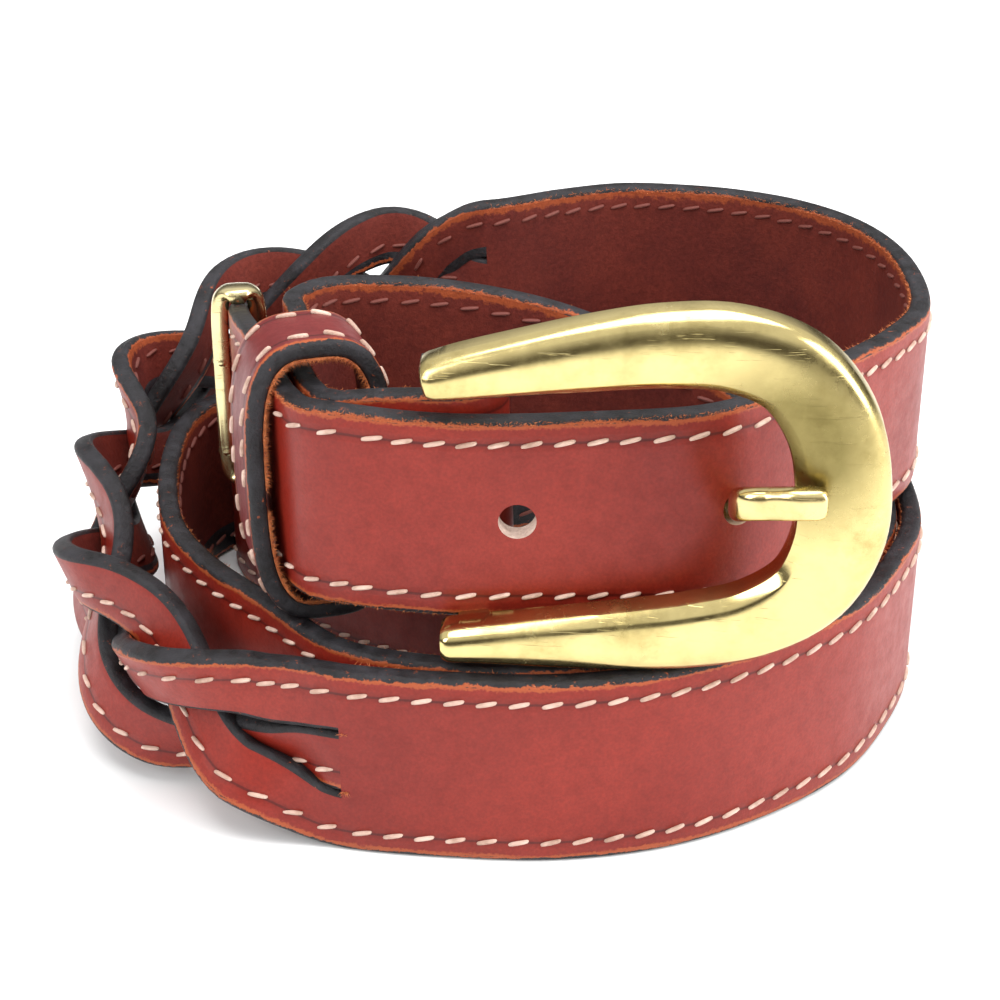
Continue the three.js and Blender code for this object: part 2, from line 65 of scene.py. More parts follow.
TABLE_SIZE = 30
TABLE_WHITE = (0.93, 0.93, 0.93, 1)
bpy.ops.mesh.primitive_plane_add(size=TABLE_SIZE)
table_top = bpy.context.object
table_top.name = "table_top"
table_paint = bpy.data.materials.new("white_table")
table_paint.use_nodes = True
table_shader = table_paint.node_tree.nodes["Principled BSDF"]
table_shader.inputs["Base Color"].default_value = TABLE_WHITE
table_shader.inputs["Roughness"].default_value = 0.8
table_top.data.materials.append(table_paint)

SKY_DARK = (0.10, 0.09, 0.08, 1)
SKY_WHITE = (1, 1, 1, 1)
SKY_DARK_BELOW = 0.18
SKY_WHITE_ABOVE = 0.55
SKY_STRENGTH = 0.95
world = bpy.data.worlds.new("studio")
world.use_nodes = True
sky_nodes = world.node_tree.nodes
sky_links = world.node_tree.links
sky = sky_nodes.new("ShaderNodeTexCoord")
sky_height = sky_nodes.new("ShaderNodeSeparateXYZ")
sky_tone = sky_nodes.new("ShaderNodeValToRGB")
sky_tone.color_ramp.elements[0].position = SKY_DARK_BELOW
sky_tone.color_ramp.elements[0].color = SKY_DARK
sky_tone.color_ramp.elements[1].position = SKY_WHITE_ABOVE
sky_tone.color_ramp.elements[1].color = SKY_WHITE
sky_links.new(sky.outputs["Generated"], sky_height.inputs["Vector"])
sky_links.new(sky_height.outputs["Z"], sky_tone.inputs["Fac"])
sky_links.new(sky_tone.outputs["Color"], sky_nodes["Background"].inputs["Color"])
sky_nodes["Background"].inputs["Strength"].default_value = SKY_STRENGTH
bpy.context.scene.world = world


def softbox(name, place, target, size, watts):
    bpy.ops.object.light_add(type="AREA", location=place)
    light = bpy.context.object
    light.name = name
    light.data.shape = "RECTANGLE"
    light.data.size, light.data.size_y = size
    light.data.energy = watts
    light.rotation_euler = (Vector(target) - Vector(place)).to_track_quat("-Z", "Y").to_euler()


softbox("top_softbox", place=(0.05, -0.05, 0.75), target=(0, 0, 0.02), size=(0.7, 0.5), watts=5.5)
softbox("left_softbox", place=(-0.55, -0.45, 0.45), target=(0, 0, 0.03), size=(0.35, 0.5), watts=3.1)
softbox("right_softbox", place=(0.60, -0.25, 0.30), target=(0, 0, 0.03), size=(0.20, 0.5), watts=4.2)

# Strap, buckle end
# A strip of bridle leather 25 mm wide, wound on its edge: three turns of the coil and the end folded
# round the buckle's bar, slit for the prong. Red-brown waxed grain, brown back, black painted edges.
STRAP_WIDTH = 25.4
STRAP_THICKNESS = 2.7
COIL_HALF_WIDTH = 59.5
COIL_HALF_DEPTH = 49.0
TURN_GAP = 0.5
STOREY_GAP = 0.4
STOREY = STRAP_WIDTH + STOREY_GAP
PITCH = STRAP_THICKNESS + TURN_GAP

# A row of the strap's route. x and y are shares of half the coil's width and depth, level is how many
# storeys it stands above the table, lean is in degrees, and inset is how many pitches it lies inside.
Row = namedtuple("Row", "x y level lean inset", defaults=(0, 0, 0))


def rows(table, inset=None):
    """The table's rows, all brought to one inset where that is given."""
    route = [Row(*row) for row in table]
    return route if inset is None else [row._replace(inset=inset) for row in route]


FLOOR_REAR = [
    (-0.600, 0.670), (-0.437, 0.710), (-0.200, 0.735), (0.034, 0.796), (0.235, 0.878), (0.420, 0.918),
    (0.605, 0.888), (0.773, 0.776), (0.900, 0.582), (0.961, 0.347), (0.983, 0.102),
]
FLOOR_FRONT = [
    (0.971, -0.192), (0.900, -0.408), (0.782, -0.633), (0.613, -0.806), (0.403, -0.939),
    (0.168, -0.998), (-0.067, -0.988),
]
LEFT_CURVE = [
    (-0.303, -0.822), (-0.447, -0.627), (-0.595, -0.424), (-0.692, -0.220), (-0.739, 0.039),
    (-0.750, 0.286), (-0.738, 0.430), (-0.700, 0.560),
]
BUCKLE_END = [(-0.050, -0.849, 1.225), (-0.168, -0.837, 1.215)]
CORNER = [
    (-0.269, -0.816, 1.185), (-0.345, -0.765, 1.17), (-0.393, -0.673, 1.16), (-0.425, -0.551, 1.14),
    (-0.457, -0.388, 1.11),
]
INNER_TURN = [
    (-0.438, -0.060, 1.03, 0, 0.4), (-0.434, 0.120, 1.01), (-0.365, 0.235, 1.00), (-0.185, 0.275, 0.98),
    (0.000, 0.280, 0.92), (0.200, 0.275, 0.79), (0.420, 0.215, 0.60), (0.620, 0.050, 0.42),
    (0.690, -0.180, 0.30), (0.610, -0.400, 0.24), (0.390, -0.530, 0.21), (0.135, -0.500, 0.19),
    (-0.148, -0.265, 0.15), (-0.345, -0.030, 0.03), (-0.455, 0.140), (-0.555, 0.300),
    (-0.615, 0.450), (-0.625, 0.550),
]
PLAIT = [
    (-0.277, -0.951), (-0.430, -0.890), (-0.570, -0.795, 0.03), (-0.680, -0.675, 0.06),
    (-0.770, -0.530, 0.07), (-0.840, -0.370, 0.07), (-0.880, -0.190, 0.10), (-0.890, 0.010, 0.15),
    (-0.878, 0.215, 0.22), (-0.868, 0.420, 0.31), (-0.812, 0.610, 0.43), (-0.700, 0.775, 0.57),
    (-0.560, 0.880, 0.71), (-0.380, 0.930, 0.84), (-0.180, 0.915, 0.95),
]
TIP_TURN = [
    (0.010, 0.850, 1), (0.190, 0.945, 1), (0.345, 1.000, 1), (0.500, 0.985, 1), (0.640, 0.940, 1),
    (0.780, 0.850, 1), (0.905, 0.690, 1), (0.978, 0.480, 1), (1.000, 0.220, 1), (0.975, 0.000, 1.01),
    (0.890, -0.190, 1.03), (0.760, -0.420, 1.07, 3), (0.655, -0.620, 1.13, 5), (0.545, -0.765, 1.17, 5),
    (0.423, -0.835, 1.175, 4), (0.235, -0.848, 1.165, 2), (0.080, -0.850, 1.16), (-0.050, -0.849, 1.16),
    (-0.168, -0.837, 1.17),
]
TIP_END = [(-0.497, -0.224, 1.07), (-0.535, -0.061, 1.02), (-0.562, 0.122, 0.98), (-0.568, 0.347, 0.94)]
ROUTE = (
    rows(BUCKLE_END, 1) + rows(CORNER, 1) + rows(INNER_TURN) + rows(FLOOR_REAR, 1) + rows(FLOOR_FRONT, 1)
    + rows(LEFT_CURVE) + rows(FLOOR_REAR) + rows(FLOOR_FRONT) + rows(PLAIT) + rows(TIP_TURN)
    + rows(CORNER) + rows(TIP_END)
)


def smooth_curve(points, t):
    """A point on the centripetal curve through points, at t from 0 to 1."""
    p = (len(points) - 1) * t
    i = min(int(p), len(points) - 2)
    w = p - i
    p1, p2 = points[i], points[i + 1]
    p0 = points[i - 1] if i > 0 else 2 * points[0] - points[1]
    p3 = points[i + 2] if i + 2 < len(points) else 2 * points[-1] - points[-2]
    d0 = max((p0 - p1).length, 1e-8) ** 0.5
    d1 = max((p1 - p2).length, 1e-8) ** 0.5
    d2 = max((p2 - p3).length, 1e-8) ** 0.5
    m1 = ((p1 - p0) / d0 - (p2 - p0) / (d0 + d1) + (p2 - p1) / d1) * d1
    m2 = ((p2 - p1) / d1 - (p3 - p1) / (d1 + d2) + (p3 - p2) / d2) * d1
    return p1 + m1 * w + (3 * (p2 - p1) - 2 * m1 - m2) * w ** 2 + (2 * (p1 - p2) + m1 + m2) * w ** 3


def smoothstep(x):
    x = min(max(x, 0), 1)
    return x * x * (3 - 2 * x)


def mix(a, b, share):
    return a + (b - a) * share


class Station:
    """A place on the strap: its centre, and the directions up the strap, out of its face and along it."""

    def __init__(self, centre, up, out, along, length=0):
        self.centre, self.up, self.out, self.along, self.length = centre, up, out, along, length


STATIONS_PER_ROW = 12
DIRECTION_STEP = 0.0001


def strap_line():
    """Stations of the whole belt, from the buckle's bar to the tip."""
    count = (len(ROUTE) - 1) * STATIONS_PER_ROW
    outer = [Vector((row.x * COIL_HALF_WIDTH, row.y * COIL_HALF_DEPTH, row.level * STOREY)) for row in ROUTE]
    line = []
    for i in range(count + 1):
        index = min(i // STATIONS_PER_ROW, len(ROUTE) - 2)
        here, following = ROUTE[index], ROUTE[index + 1]
        share = smoothstep(i / STATIONS_PER_ROW - index)
        lean = math.radians(mix(here.lean, following.lean, share))
        inset = mix(here.inset, following.inset, share)
        t = i / count
        before = smooth_curve(outer, max(t - DIRECTION_STEP, 0))
        along = smooth_curve(outer, min(t + DIRECTION_STEP, 1)) - before
        outward = Vector((-along.y, along.x, 0)).normalized()
        up = Vector((0, 0, math.cos(lean))) - outward * math.sin(lean)
        centre = smooth_curve(outer, t) + Vector((0, 0, STRAP_WIDTH / 2 * math.cos(lean)))
        line.append(Station(centre - outward * (STRAP_THICKNESS / 2 + inset * PITCH), up, None, None))
    length = 0
    for i, station in enumerate(line):
        before = line[max(i - 1, 0)].centre
        after = line[min(i + 1, count)].centre
        length += (station.centre - before).length
        station.length = length
        station.along = (after - before).normalized()
        station.up = (station.up - station.along * station.up.dot(station.along)).normalized()
        station.out = station.up.cross(station.along).normalized()
    return line


def station_at(length):
    low, high = 0, len(LINE) - 1
    while high - low > 1:
        middle = (low + high) // 2
        if LINE[middle].length < length:
            low = middle
        else:
            high = middle
    a, b = LINE[low], LINE[high]
    share = min(max((length - a.length) / (b.length - a.length), 0), 1)
    return Station(
        a.centre.lerp(b.centre, share),
        a.up.lerp(b.up, share).normalized(),
        a.out.lerp(b.out, share).normalized(),
        a.along.lerp(b.along, share).normalized(),
        length,
    )


LINE = strap_line()
PLAIT_ROW = len(ROUTE) - len(CORNER) - len(TIP_END) - len(TIP_TURN) - len(PLAIT)
PLAIT_START = LINE[PLAIT_ROW * STATIONS_PER_ROW].length
PLAIT_END = LINE[(PLAIT_ROW + len(PLAIT)) * STATIONS_PER_ROW].length
BELT_END = LINE[-1].length


def even_lengths(start, end, step):
    pieces = max(2, round((end - start) / step))
    return [mix(start, end, i / pieces) for i in range(pieces + 1)]


def new_material(name):
    material = bpy.data.materials.new(name)
    material.use_nodes = True
    return material, material.node_tree, material.node_tree.nodes["Principled BSDF"]


def add(tree, kind, settings=None, **sockets):
    """A node with its settings and with values or links in its named sockets."""
    node = tree.nodes.new(kind)
    for key, value in (settings or {}).items():
        setattr(node, key, value)
    for key, value in sockets.items():
        wanted = key.replace("_", " ").lower()
        socket = next(s for s in node.inputs if s.name.lower() == wanted and s.enabled)
        if isinstance(value, bpy.types.NodeSocket):
            tree.links.new(value, socket)
        else:
            socket.default_value = value
    return node


def math_node(tree, operation, a, b=None):
    node = tree.nodes.new("ShaderNodeMath")
    node.operation = operation
    for socket, value in zip(node.inputs, (a, b)):
        if isinstance(value, bpy.types.NodeSocket):
            tree.links.new(value, socket)
        elif value is not None:
            socket.default_value = value
    return node.outputs[0]


def ramp(tree, factor, stops):
    """The colour of a factor, from stops of a place and a colour each."""
    node = tree.nodes.new("ShaderNodeValToRGB")
    tree.links.new(factor, node.inputs["Fac"])
    elements = node.color_ramp.elements
    while len(elements) < len(stops):
        elements.new(0.5)
    for element, (place, colour) in zip(elements, stops):
        element.position = place
        element.color = (*colour, 1)
    return node.outputs["Color"]


BLACK = (0, 0, 0)
WHITE = (1, 1, 1)


def fade(tree, factor, start, end, low=0, high=1):
    """A grey that goes from low to high while the factor goes from start to end."""
    return ramp(tree, factor, [(start, (low, low, low)), (end, (high, high, high))])


def mix_colour(tree, factor, a, b, blend="MIX"):
    node = tree.nodes.new("ShaderNodeMix")
    node.data_type = "RGBA"
    node.blend_type = blend
    for socket, value in zip((node.inputs[0], node.inputs[6], node.inputs[7]), (factor, a, b)):
        if isinstance(value, bpy.types.NodeSocket):
            tree.links.new(value, socket)
        else:
            socket.default_value = value
    return node.outputs[2]


def tint(tree, colour, by):
    return mix_colour(tree, 1, colour, by, "MULTIPLY")


def plus(tree, base, part, share):
    """The base with a share of another value added to it."""
    return math_node(tree, "ADD", base, math_node(tree, "MULTIPLY", part, share))


def object_place(tree):
    return add(tree, "ShaderNodeTexCoord").outputs["Object"]


def noise(tree, place, scale, detail=4, roughness=0.55, distortion=0):
    node = add(tree, "ShaderNodeTexNoise", Vector=place, Scale=scale, Detail=detail,
               Roughness=roughness, Distortion=distortion)
    return node.outputs["Fac"]


def emboss(tree, shader, height, strength, depth):
    """Gives the surface the height as low relief, with its depth in metres."""
    bump = add(tree, "ShaderNodeBump", Strength=strength, Distance=depth, Height=height)
    tree.links.new(bump.outputs["Normal"], shader.inputs["Normal"])


def edge_distance(tree, width):
    """Distance from the nearer long edge of a band, in millimetres, read from its UV map."""
    uv = add(tree, "ShaderNodeUVMap", {"uv_map": "strap"})
    split = add(tree, "ShaderNodeSeparateXYZ", Vector=uv.outputs["UV"])
    return math_node(tree, "SUBTRACT", width / 2, math_node(tree, "ABSOLUTE", split.outputs["Y"]))


GROOVE_REACH = 0.9


def grain_leather(name, width, deep, bright, worn_edge, stitch_inset):
    """The outer face: waxed red-brown grain, worn orange beside the edge, with a stitching groove darkened
    by painted shade.
    """
    material, tree, shader = new_material(name)
    place = object_place(tree)
    edge = edge_distance(tree, width)
    clouds = noise(tree, place, scale=38, detail=5, roughness=0.6)
    mottle = noise(tree, place, scale=420, detail=6, roughness=0.7)
    fine = noise(tree, place, scale=2600, detail=3, roughness=0.6)
    colour = mix_colour(tree, fade(tree, clouds, start=0.20, end=0.85), deep, bright)
    darker = tint(tree, colour, (0.62, 0.52, 0.50, 1))
    colour = mix_colour(tree, fade(tree, mottle, start=0.42, end=0.70, high=0.42), colour, darker)
    pores = ramp(tree, fine, [(0.35, (0.84, 0.80, 0.78)), (0.65, (1.06, 1.08, 1.10))])
    colour = tint(tree, colour, pores)
    ragged_edge = plus(tree, edge, mottle, share=-1.3)
    ragged_edge = plus(tree, ragged_edge, fine, share=-0.8)
    ragged_edge = plus(tree, ragged_edge, clouds, share=0.9)
    wear = fade(tree, ragged_edge, start=0.30, end=0.55, low=0.85, high=0)
    colour = mix_colour(tree, wear, colour, worn_edge)
    groove = math_node(tree, "ABSOLUTE", math_node(tree, "SUBTRACT", edge, stitch_inset))
    groove = math_node(tree, "MINIMUM", groove, GROOVE_REACH)
    # Painted shade: the colour is darkened in and beside the stitching groove, where shade would fall.
    painted_groove_shade = ramp(tree, groove, [(0.10, (0.42, 0.34, 0.34)), (0.24, (0.84, 0.80, 0.80)), (0.85, WHITE)])
    tree.links.new(tint(tree, colour, painted_groove_shade), shader.inputs["Base Color"])
    rough = fade(tree, mottle, start=0.30, end=0.75, low=0.36, high=0.54)
    tree.links.new(rough, shader.inputs["Roughness"])
    shader.inputs["Specular IOR Level"].default_value = 0.32
    shader.inputs["Coat Weight"].default_value = 0.05
    shader.inputs["Coat Roughness"].default_value = 0.28
    height = plus(tree, math_node(tree, "MULTIPLY", mottle, 0.55), fine, share=0.3)
    height = plus(tree, height, groove, share=0.9)
    emboss(tree, shader, height, strength=0.32, depth=0.00025)
    return material


def flesh_leather(name, width, dark, light, fuzz):
    """The back: napped brown leather that goes orange and fuzzy along its edges."""
    material, tree, shader = new_material(name)
    place = object_place(tree)
    edge = edge_distance(tree, width)
    clouds = noise(tree, place, scale=60, detail=6, roughness=0.65)
    nap = noise(tree, place, scale=1500, detail=4, roughness=0.75)
    tufts = noise(tree, place, scale=700, detail=5, roughness=0.8)
    colour = mix_colour(tree, fade(tree, clouds, start=0.3, end=0.7), dark, light)
    ragged_edge = plus(tree, edge, tufts, share=-3.0)
    ragged_edge = plus(tree, ragged_edge, clouds, share=0.9)
    rim = fade(tree, ragged_edge, start=0.25, end=0.60, low=0.8, high=0)
    colour = mix_colour(tree, rim, colour, fuzz)
    streak = ramp(tree, nap, [(0.35, (0.70, 0.64, 0.62)), (0.7, (1.1, 1.1, 1.1))])
    tree.links.new(tint(tree, colour, streak), shader.inputs["Base Color"])
    shader.inputs["Roughness"].default_value = 0.72
    shader.inputs["Specular IOR Level"].default_value = 0.25
    emboss(tree, shader, nap, strength=0.5, depth=0.0003)
    return material


def edge_paint(name, width, dark, grey, fuzz):
    """The edge: black edge paint, rubbed grey and partly painted grey sheen, cracked here and there to the
    orange fibre.
    """
    material, tree, shader = new_material(name)
    place = object_place(tree)
    rub_and_sheen = noise(tree, place, scale=260, detail=6, roughness=0.7)
    crack = noise(tree, place, scale=900, detail=6, roughness=0.8, distortion=0.4)
    patches = noise(tree, place, scale=70, detail=3)
    # The grey patches are partly rubbed paint and partly painted sheen on the black edge.
    colour = mix_colour(tree, fade(tree, rub_and_sheen, start=0.40, end=0.68), dark, grey)
    colour = mix_colour(tree, fade(tree, crack, start=0.62, end=0.68), colour, fuzz)
    ragged_edge = plus(tree, edge_distance(tree, width), math_node(tree, "SUBTRACT", crack, 0.5), share=1.6)
    ragged_edge = plus(tree, ragged_edge, math_node(tree, "SUBTRACT", patches, 0.5), share=1.5)
    rim = ramp(tree, ragged_edge, [(0.50, BLACK), (0.62, WHITE), (0.90, WHITE), (1.0, BLACK)])
    tree.links.new(mix_colour(tree, rim, colour, fuzz), shader.inputs["Base Color"])
    shader.inputs["Specular IOR Level"].default_value = 0.34
    rough = fade(tree, rub_and_sheen, start=0.3, end=0.7, low=0.36, high=0.66)
    tree.links.new(rough, shader.inputs["Roughness"])
    emboss(tree, shader, plus(tree, rub_and_sheen, crack, share=0.6), strength=0.8, depth=0.0005)
    return material


CHESTNUT = (0.180, 0.010, 0.005, 1)
RUSSET = (0.285, 0.023, 0.011, 1)
RAW_ORANGE = (0.36, 0.075, 0.020, 1)
BACK_BROWN = (0.095, 0.012, 0.009, 1)
BACK_TAN = (0.185, 0.028, 0.016, 1)
EDGE_BLACK = (0.006, 0.005, 0.006, 1)
# The edge's grey is partly rubbed paint and partly painted sheen.
EDGE_RUBBED_GREY_AND_SHEEN = (0.030, 0.028, 0.033, 1)
STITCH_INSET = 2.9
strap_grain = grain_leather("strap_grain", STRAP_WIDTH, CHESTNUT, RUSSET, RAW_ORANGE, STITCH_INSET)
strap_back = flesh_leather("strap_back", STRAP_WIDTH, BACK_BROWN, BACK_TAN, RAW_ORANGE)
strap_edge = edge_paint("strap_edge", STRAP_WIDTH, EDGE_BLACK, EDGE_RUBBED_GREY_AND_SHEEN, RAW_ORANGE)

EDGE_RADIUS = 0.75
FACE_STEPS = 6
BAND_MATERIALS = (strap_grain, strap_back, strap_edge)


def band_outline(width, thickness):
    """Points round a band's cross-section, as (across, through, side), starting at the face's top."""
    half, wall, round_off = width / 2, thickness / 2, EDGE_RADIUS
    quarter = [(math.sin(a), math.cos(a)) for a in (math.radians(d) for d in (0, 30, 60, 90))]
    points = []
    for i in range(FACE_STEPS + 1):
        points.append((mix(half - round_off, -half + round_off, i / FACE_STEPS), wall, "face"))
    for s, c in quarter[1:]:
        points.append((-half + round_off - round_off * s, wall - round_off + round_off * c, "edge"))
    for s, c in reversed(quarter):
        points.append((-half + round_off - round_off * s, -wall + round_off - round_off * c, "edge"))
    for i in range(1, FACE_STEPS + 1):
        points.append((mix(-half + round_off, half - round_off, i / FACE_STEPS), -wall, "back"))
    for s, c in quarter[1:]:
        points.append((half - round_off + round_off * s, -wall + round_off - round_off * c, "edge"))
    for s, c in reversed(quarter[1:]):
        points.append((half - round_off + round_off * s, wall - round_off + round_off * c, "edge"))
    return points


def bend_grid(name, stations, outlines, closed=False, uv_across=0):
    """A grid rolled round each station's outline and welded shut, with its strap UV in millimetres."""
    around = len(outlines[0])
    marks = [station.length for station in stations]
    if closed:
        marks.append(marks[-1] + (stations[0].centre - stations[-1].centre).length)
    last = len(marks) - 1
    bpy.ops.mesh.primitive_grid_add(x_subdivisions=last, y_subdivisions=around, size=2)
    band = bpy.context.object
    band.name = name
    mesh = band.data
    mesh.name = name
    places = []
    for vertex in mesh.vertices:
        i = round((vertex.co.x + 1) / 2 * last)
        j = round((vertex.co.y + 1) / 2 * around)
        places.append((i, j))
    uv = mesh.uv_layers[0]
    uv.name = "strap"
    for loop in mesh.loops:
        i, j = places[loop.vertex_index]
        uv.data[loop.index].uv = (marks[i], outlines[0][j % around][0] + uv_across)
    for vertex, (i, j) in zip(mesh.vertices, places):
        station = stations[i % len(stations)]
        across, through = outlines[i % len(stations)][j % around][:2]
        point = station.centre + station.up * across + station.out * through
        vertex.co = (point + FRAME_SHIFT) * MM
    for face in mesh.polygons:
        corners = [places[v][1] for v in face.vertices]
        lower, upper = min(corners), max(corners)
        sides = {outlines[0][lower % around][2], outlines[0][upper % around][2]}
        face.material_index = 2 if "edge" in sides else (0 if "face" in sides else 1)
    bpy.ops.object.mode_set(mode="EDIT")
    bpy.ops.mesh.select_all(action="SELECT")
    bpy.ops.mesh.remove_doubles(threshold=0.000001)
    bpy.ops.mesh.select_all(action="DESELECT")
    if not closed:
        bpy.ops.mesh.select_mode(type="VERT")
        bpy.ops.mesh.select_non_manifold()
        bpy.ops.mesh.edge_face_add()
    bpy.ops.mesh.select_all(action="SELECT")
    bpy.ops.mesh.normals_make_consistent(inside=False)
    bpy.ops.object.mode_set(mode="OBJECT")
    bpy.ops.object.shade_smooth_by_angle(angle=math.radians(50))
    return band


def leather_band(name, stations, widths, thickness, materials, closed=False, uv_across=0):
    outlines = [band_outline(width, thickness) for width in widths]
    band = bend_grid(name, stations, outlines, closed, uv_across)
    for material in materials:
        band.data.materials.append(material)
    return band


BAR_RADIUS = 1.9
BAR_SLACK = 1.5
RETURN_LENGTH = 4.5
RETURN_STEPS = 6
FOLD_STEPS = 24
STRAP_STEP = 1.6
fold_radius = BAR_RADIUS + BAR_SLACK + STRAP_THICKNESS / 2
fold_length = math.pi * fold_radius
first = station_at(0)
bar_centre = first.centre - first.out * fold_radius

buckle_end = []
for i in range(RETURN_STEPS, 0, -1):
    reach = i / RETURN_STEPS * RETURN_LENGTH
    centre = bar_centre - first.out * fold_radius + first.along * reach
    buckle_end.append(Station(centre, first.up, -first.out, -first.along, -fold_length - reach))
for i in range(FOLD_STEPS):
    angle = math.pi * i / FOLD_STEPS
    out = -first.out * math.cos(angle) - first.along * math.sin(angle)
    length = -fold_length * (1 - i / FOLD_STEPS)
    buckle_end.append(Station(bar_centre + out * fold_radius, first.up, out, first.along, length))
buckle_end += [station_at(length) for length in even_lengths(0, PLAIT_START, STRAP_STEP)]
buckle_strap = leather_band("buckle_end_strap", buckle_end, [STRAP_WIDTH] * len(buckle_end),
                            STRAP_THICKNESS, BAND_MATERIALS)


def cut_with(piece, cutter):
    """The cutter is taken out of the piece and thrown away; the cut takes the cutter's material."""
    bpy.ops.object.select_all(action="DESELECT")
    bpy.context.view_layer.objects.active = piece
    piece.select_set(True)
    bpy.ops.object.modifier_add(type="BOOLEAN")
    cut = piece.modifiers[-1]
    cut.operation = "DIFFERENCE"
    cut.solver = "EXACT"
    cut.material_mode = "TRANSFER"
    cut.object = cutter
    bpy.ops.object.modifier_apply(modifier=cut.name)
    bpy.data.objects.remove(cutter)


SLOT_HEIGHT = 6.4
SLOT_PAST_BAR = 2.8
slot_reach = 2 * (fold_radius + STRAP_THICKNESS)
slot_centre = bar_centre + Vector((slot_reach / 2 - BAR_RADIUS - SLOT_PAST_BAR, 0, 0)) + FRAME_SHIFT
bpy.ops.mesh.primitive_cube_add(size=1, location=slot_centre * MM,
                                scale=Vector((slot_reach, slot_reach, SLOT_HEIGHT)) * MM)
prong_slot = bpy.context.object
prong_slot.data.materials.append(strap_edge)
cut_with(buckle_strap, prong_slot)
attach(buckle_strap, "root")
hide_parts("buckle_strap")

# Plait
# Between two cuts the strap is slit into three strands that go over and under each other. Each keeps
# the leather's thickness, black edges and one row of stitches.
STRAND_WIDTH = 8.4
STRAND_STEP = 0.9
PLAIT_DEPTH = 2.9
PLAIT_TWIST = 28
PLAIT_NARROWING = 0.22
PLAIT_BLEND = 11
OVERLAP_BLEND = 18
MIDDLE_PRESS = 1.6
PRESS_SHARE = 0.2
PRESS_RISE = 7
PRESS_END = 10
PRESS_FADE = 14

# Shares of the plait's length, and how many turns the strands have made there.
PLAIT_TURNS = [
    (0, 0), (0.02, 0.008), (0.085, 0.083), (0.270, 0.417), (0.440, 0.750), (0.58, 1.083),
    (0.735, 1.417), (0.89, 1.750), (0.955, 1.940), (0.985, 1.992), (1, 2),
]


def turns_at(share):
    for (a, from_turns), (b, to_turns) in zip(PLAIT_TURNS, PLAIT_TURNS[1:]):
        if share <= b:
            return mix(from_turns, to_turns, (share - a) / (b - a))
    return PLAIT_TURNS[-1][1]


def strand_stations(start, press):
    """Stations of one strand, which swings across the strap's width and over and under the others.

    Press is how far it is first pushed behind its neighbours, which holds back its swing.
    """
    swing = (STRAP_WIDTH - STRAND_WIDTH) / 2 / math.sin(math.pi / 3)
    course = []
    for length in even_lengths(PLAIT_START, PLAIT_END, STRAND_STEP):
        run = length - PLAIT_START
        inside = min(run, PLAIT_END - length)
        share = run / (PLAIT_END - PLAIT_START)
        turns = turns_at(share) * (smoothstep(share / PRESS_SHARE) if press else 1)
        phase = 2 * math.pi * (start + turns)
        spread = smoothstep(inside / PLAIT_BLEND)
        base = station_at(length)
        across = swing * (1 - PLAIT_NARROWING * spread) * math.sin(phase)
        through = -PLAIT_DEPTH * smoothstep(inside / OVERLAP_BLEND) * math.sin(2 * phase)
        through -= press * smoothstep(run / PRESS_RISE) * (1 - smoothstep((run - PRESS_END) / PRESS_FADE))
        centre = base.centre + base.up * across + base.out * through
        twist = math.radians(PLAIT_TWIST) * spread * math.cos(phase)
        course.append((centre, base, spread, twist))
    strand = []
    for i, (centre, base, spread, twist) in enumerate(course):
        before = course[max(i - 1, 0)][0]
        after = course[min(i + 1, len(course) - 1)][0]
        along = base.along.lerp((after - before).normalized(), spread).normalized()
        up = (base.up - along * base.up.dot(along)).normalized()
        up = Matrix.Rotation(twist, 3, along) @ up
        strand.append(Station(centre, up, up.cross(along).normalized(), along, base.length))
    return strand


# Each strand's name, where in a turn it starts, how far it is pressed back, and where its middle lies
# across the strap's UV, so that its stitched edge is worn as the strap's.
strand_middle = (STRAP_WIDTH - STRAND_WIDTH) / 2
STRANDS = (
    ("top", 1 / 6, 0, strand_middle),
    ("middle", 1 / 2, MIDDLE_PRESS, -strand_middle),
    ("bottom", 5 / 6, 0, -strand_middle),
)
strands = {}
for strand_name, start, press, uv_across in STRANDS:
    stations = strand_stations(start, press)
    strand = leather_band(f"plait_{strand_name}", stations, [STRAND_WIDTH] * len(stations),
                          STRAP_THICKNESS, BAND_MATERIALS, uv_across=uv_across)
    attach(strand, "root")
    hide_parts(f"plait_strand_{strand_name}")
    strands[strand_name] = stations

# Strap, tip end
# The other end, cut to a rounded point and punched with a row of round holes, runs once more round the
# back of the coil and out through the buckle. The punched walls show the pale, undyed leather.
TIP_POINT_LENGTH = 26
TIP_END_WIDTH = 0.3
HOLE_COUNT = 3
HOLE_SPACING = 25.4
HOLE_DIAMETER = 4.4
FIRST_HOLE_FROM_TIP = 80.8
HOLE_TAN = (0.55, 0.40, 0.33, 1)
HOLE_PALE = (0.82, 0.68, 0.60, 1)
hole_wall = flesh_leather("hole_wall", 0, HOLE_TAN, HOLE_PALE, HOLE_PALE)


def width_at(length):
    share = min(max((BELT_END - length) / TIP_POINT_LENGTH, 0), 1)
    return STRAP_WIDTH * mix(TIP_END_WIDTH, 1, math.sqrt(1 - (1 - share) ** 2))


tip_lengths = even_lengths(PLAIT_END, BELT_END, STRAP_STEP)
tip_strap = leather_band("tip_end_strap", [station_at(length) for length in tip_lengths],
                         [width_at(length) for length in tip_lengths], STRAP_THICKNESS, BAND_MATERIALS)
for hole in range(HOLE_COUNT):
    place = station_at(BELT_END - FIRST_HOLE_FROM_TIP - hole * HOLE_SPACING)
    bpy.ops.mesh.primitive_cylinder_add(vertices=40, radius=HOLE_DIAMETER / 2 * MM,
                                        depth=4 * STRAP_THICKNESS * MM)
    punch = bpy.context.object
    turned = place.out.to_track_quat("Z", "Y").to_matrix().to_4x4()
    punch.matrix_world = Matrix.Translation((place.centre + FRAME_SHIFT) * MM) @ turned
    punch.data.materials.append(hole_wall)
    cut_with(tip_strap, punch)
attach(tip_strap, "root")
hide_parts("tip_strap")

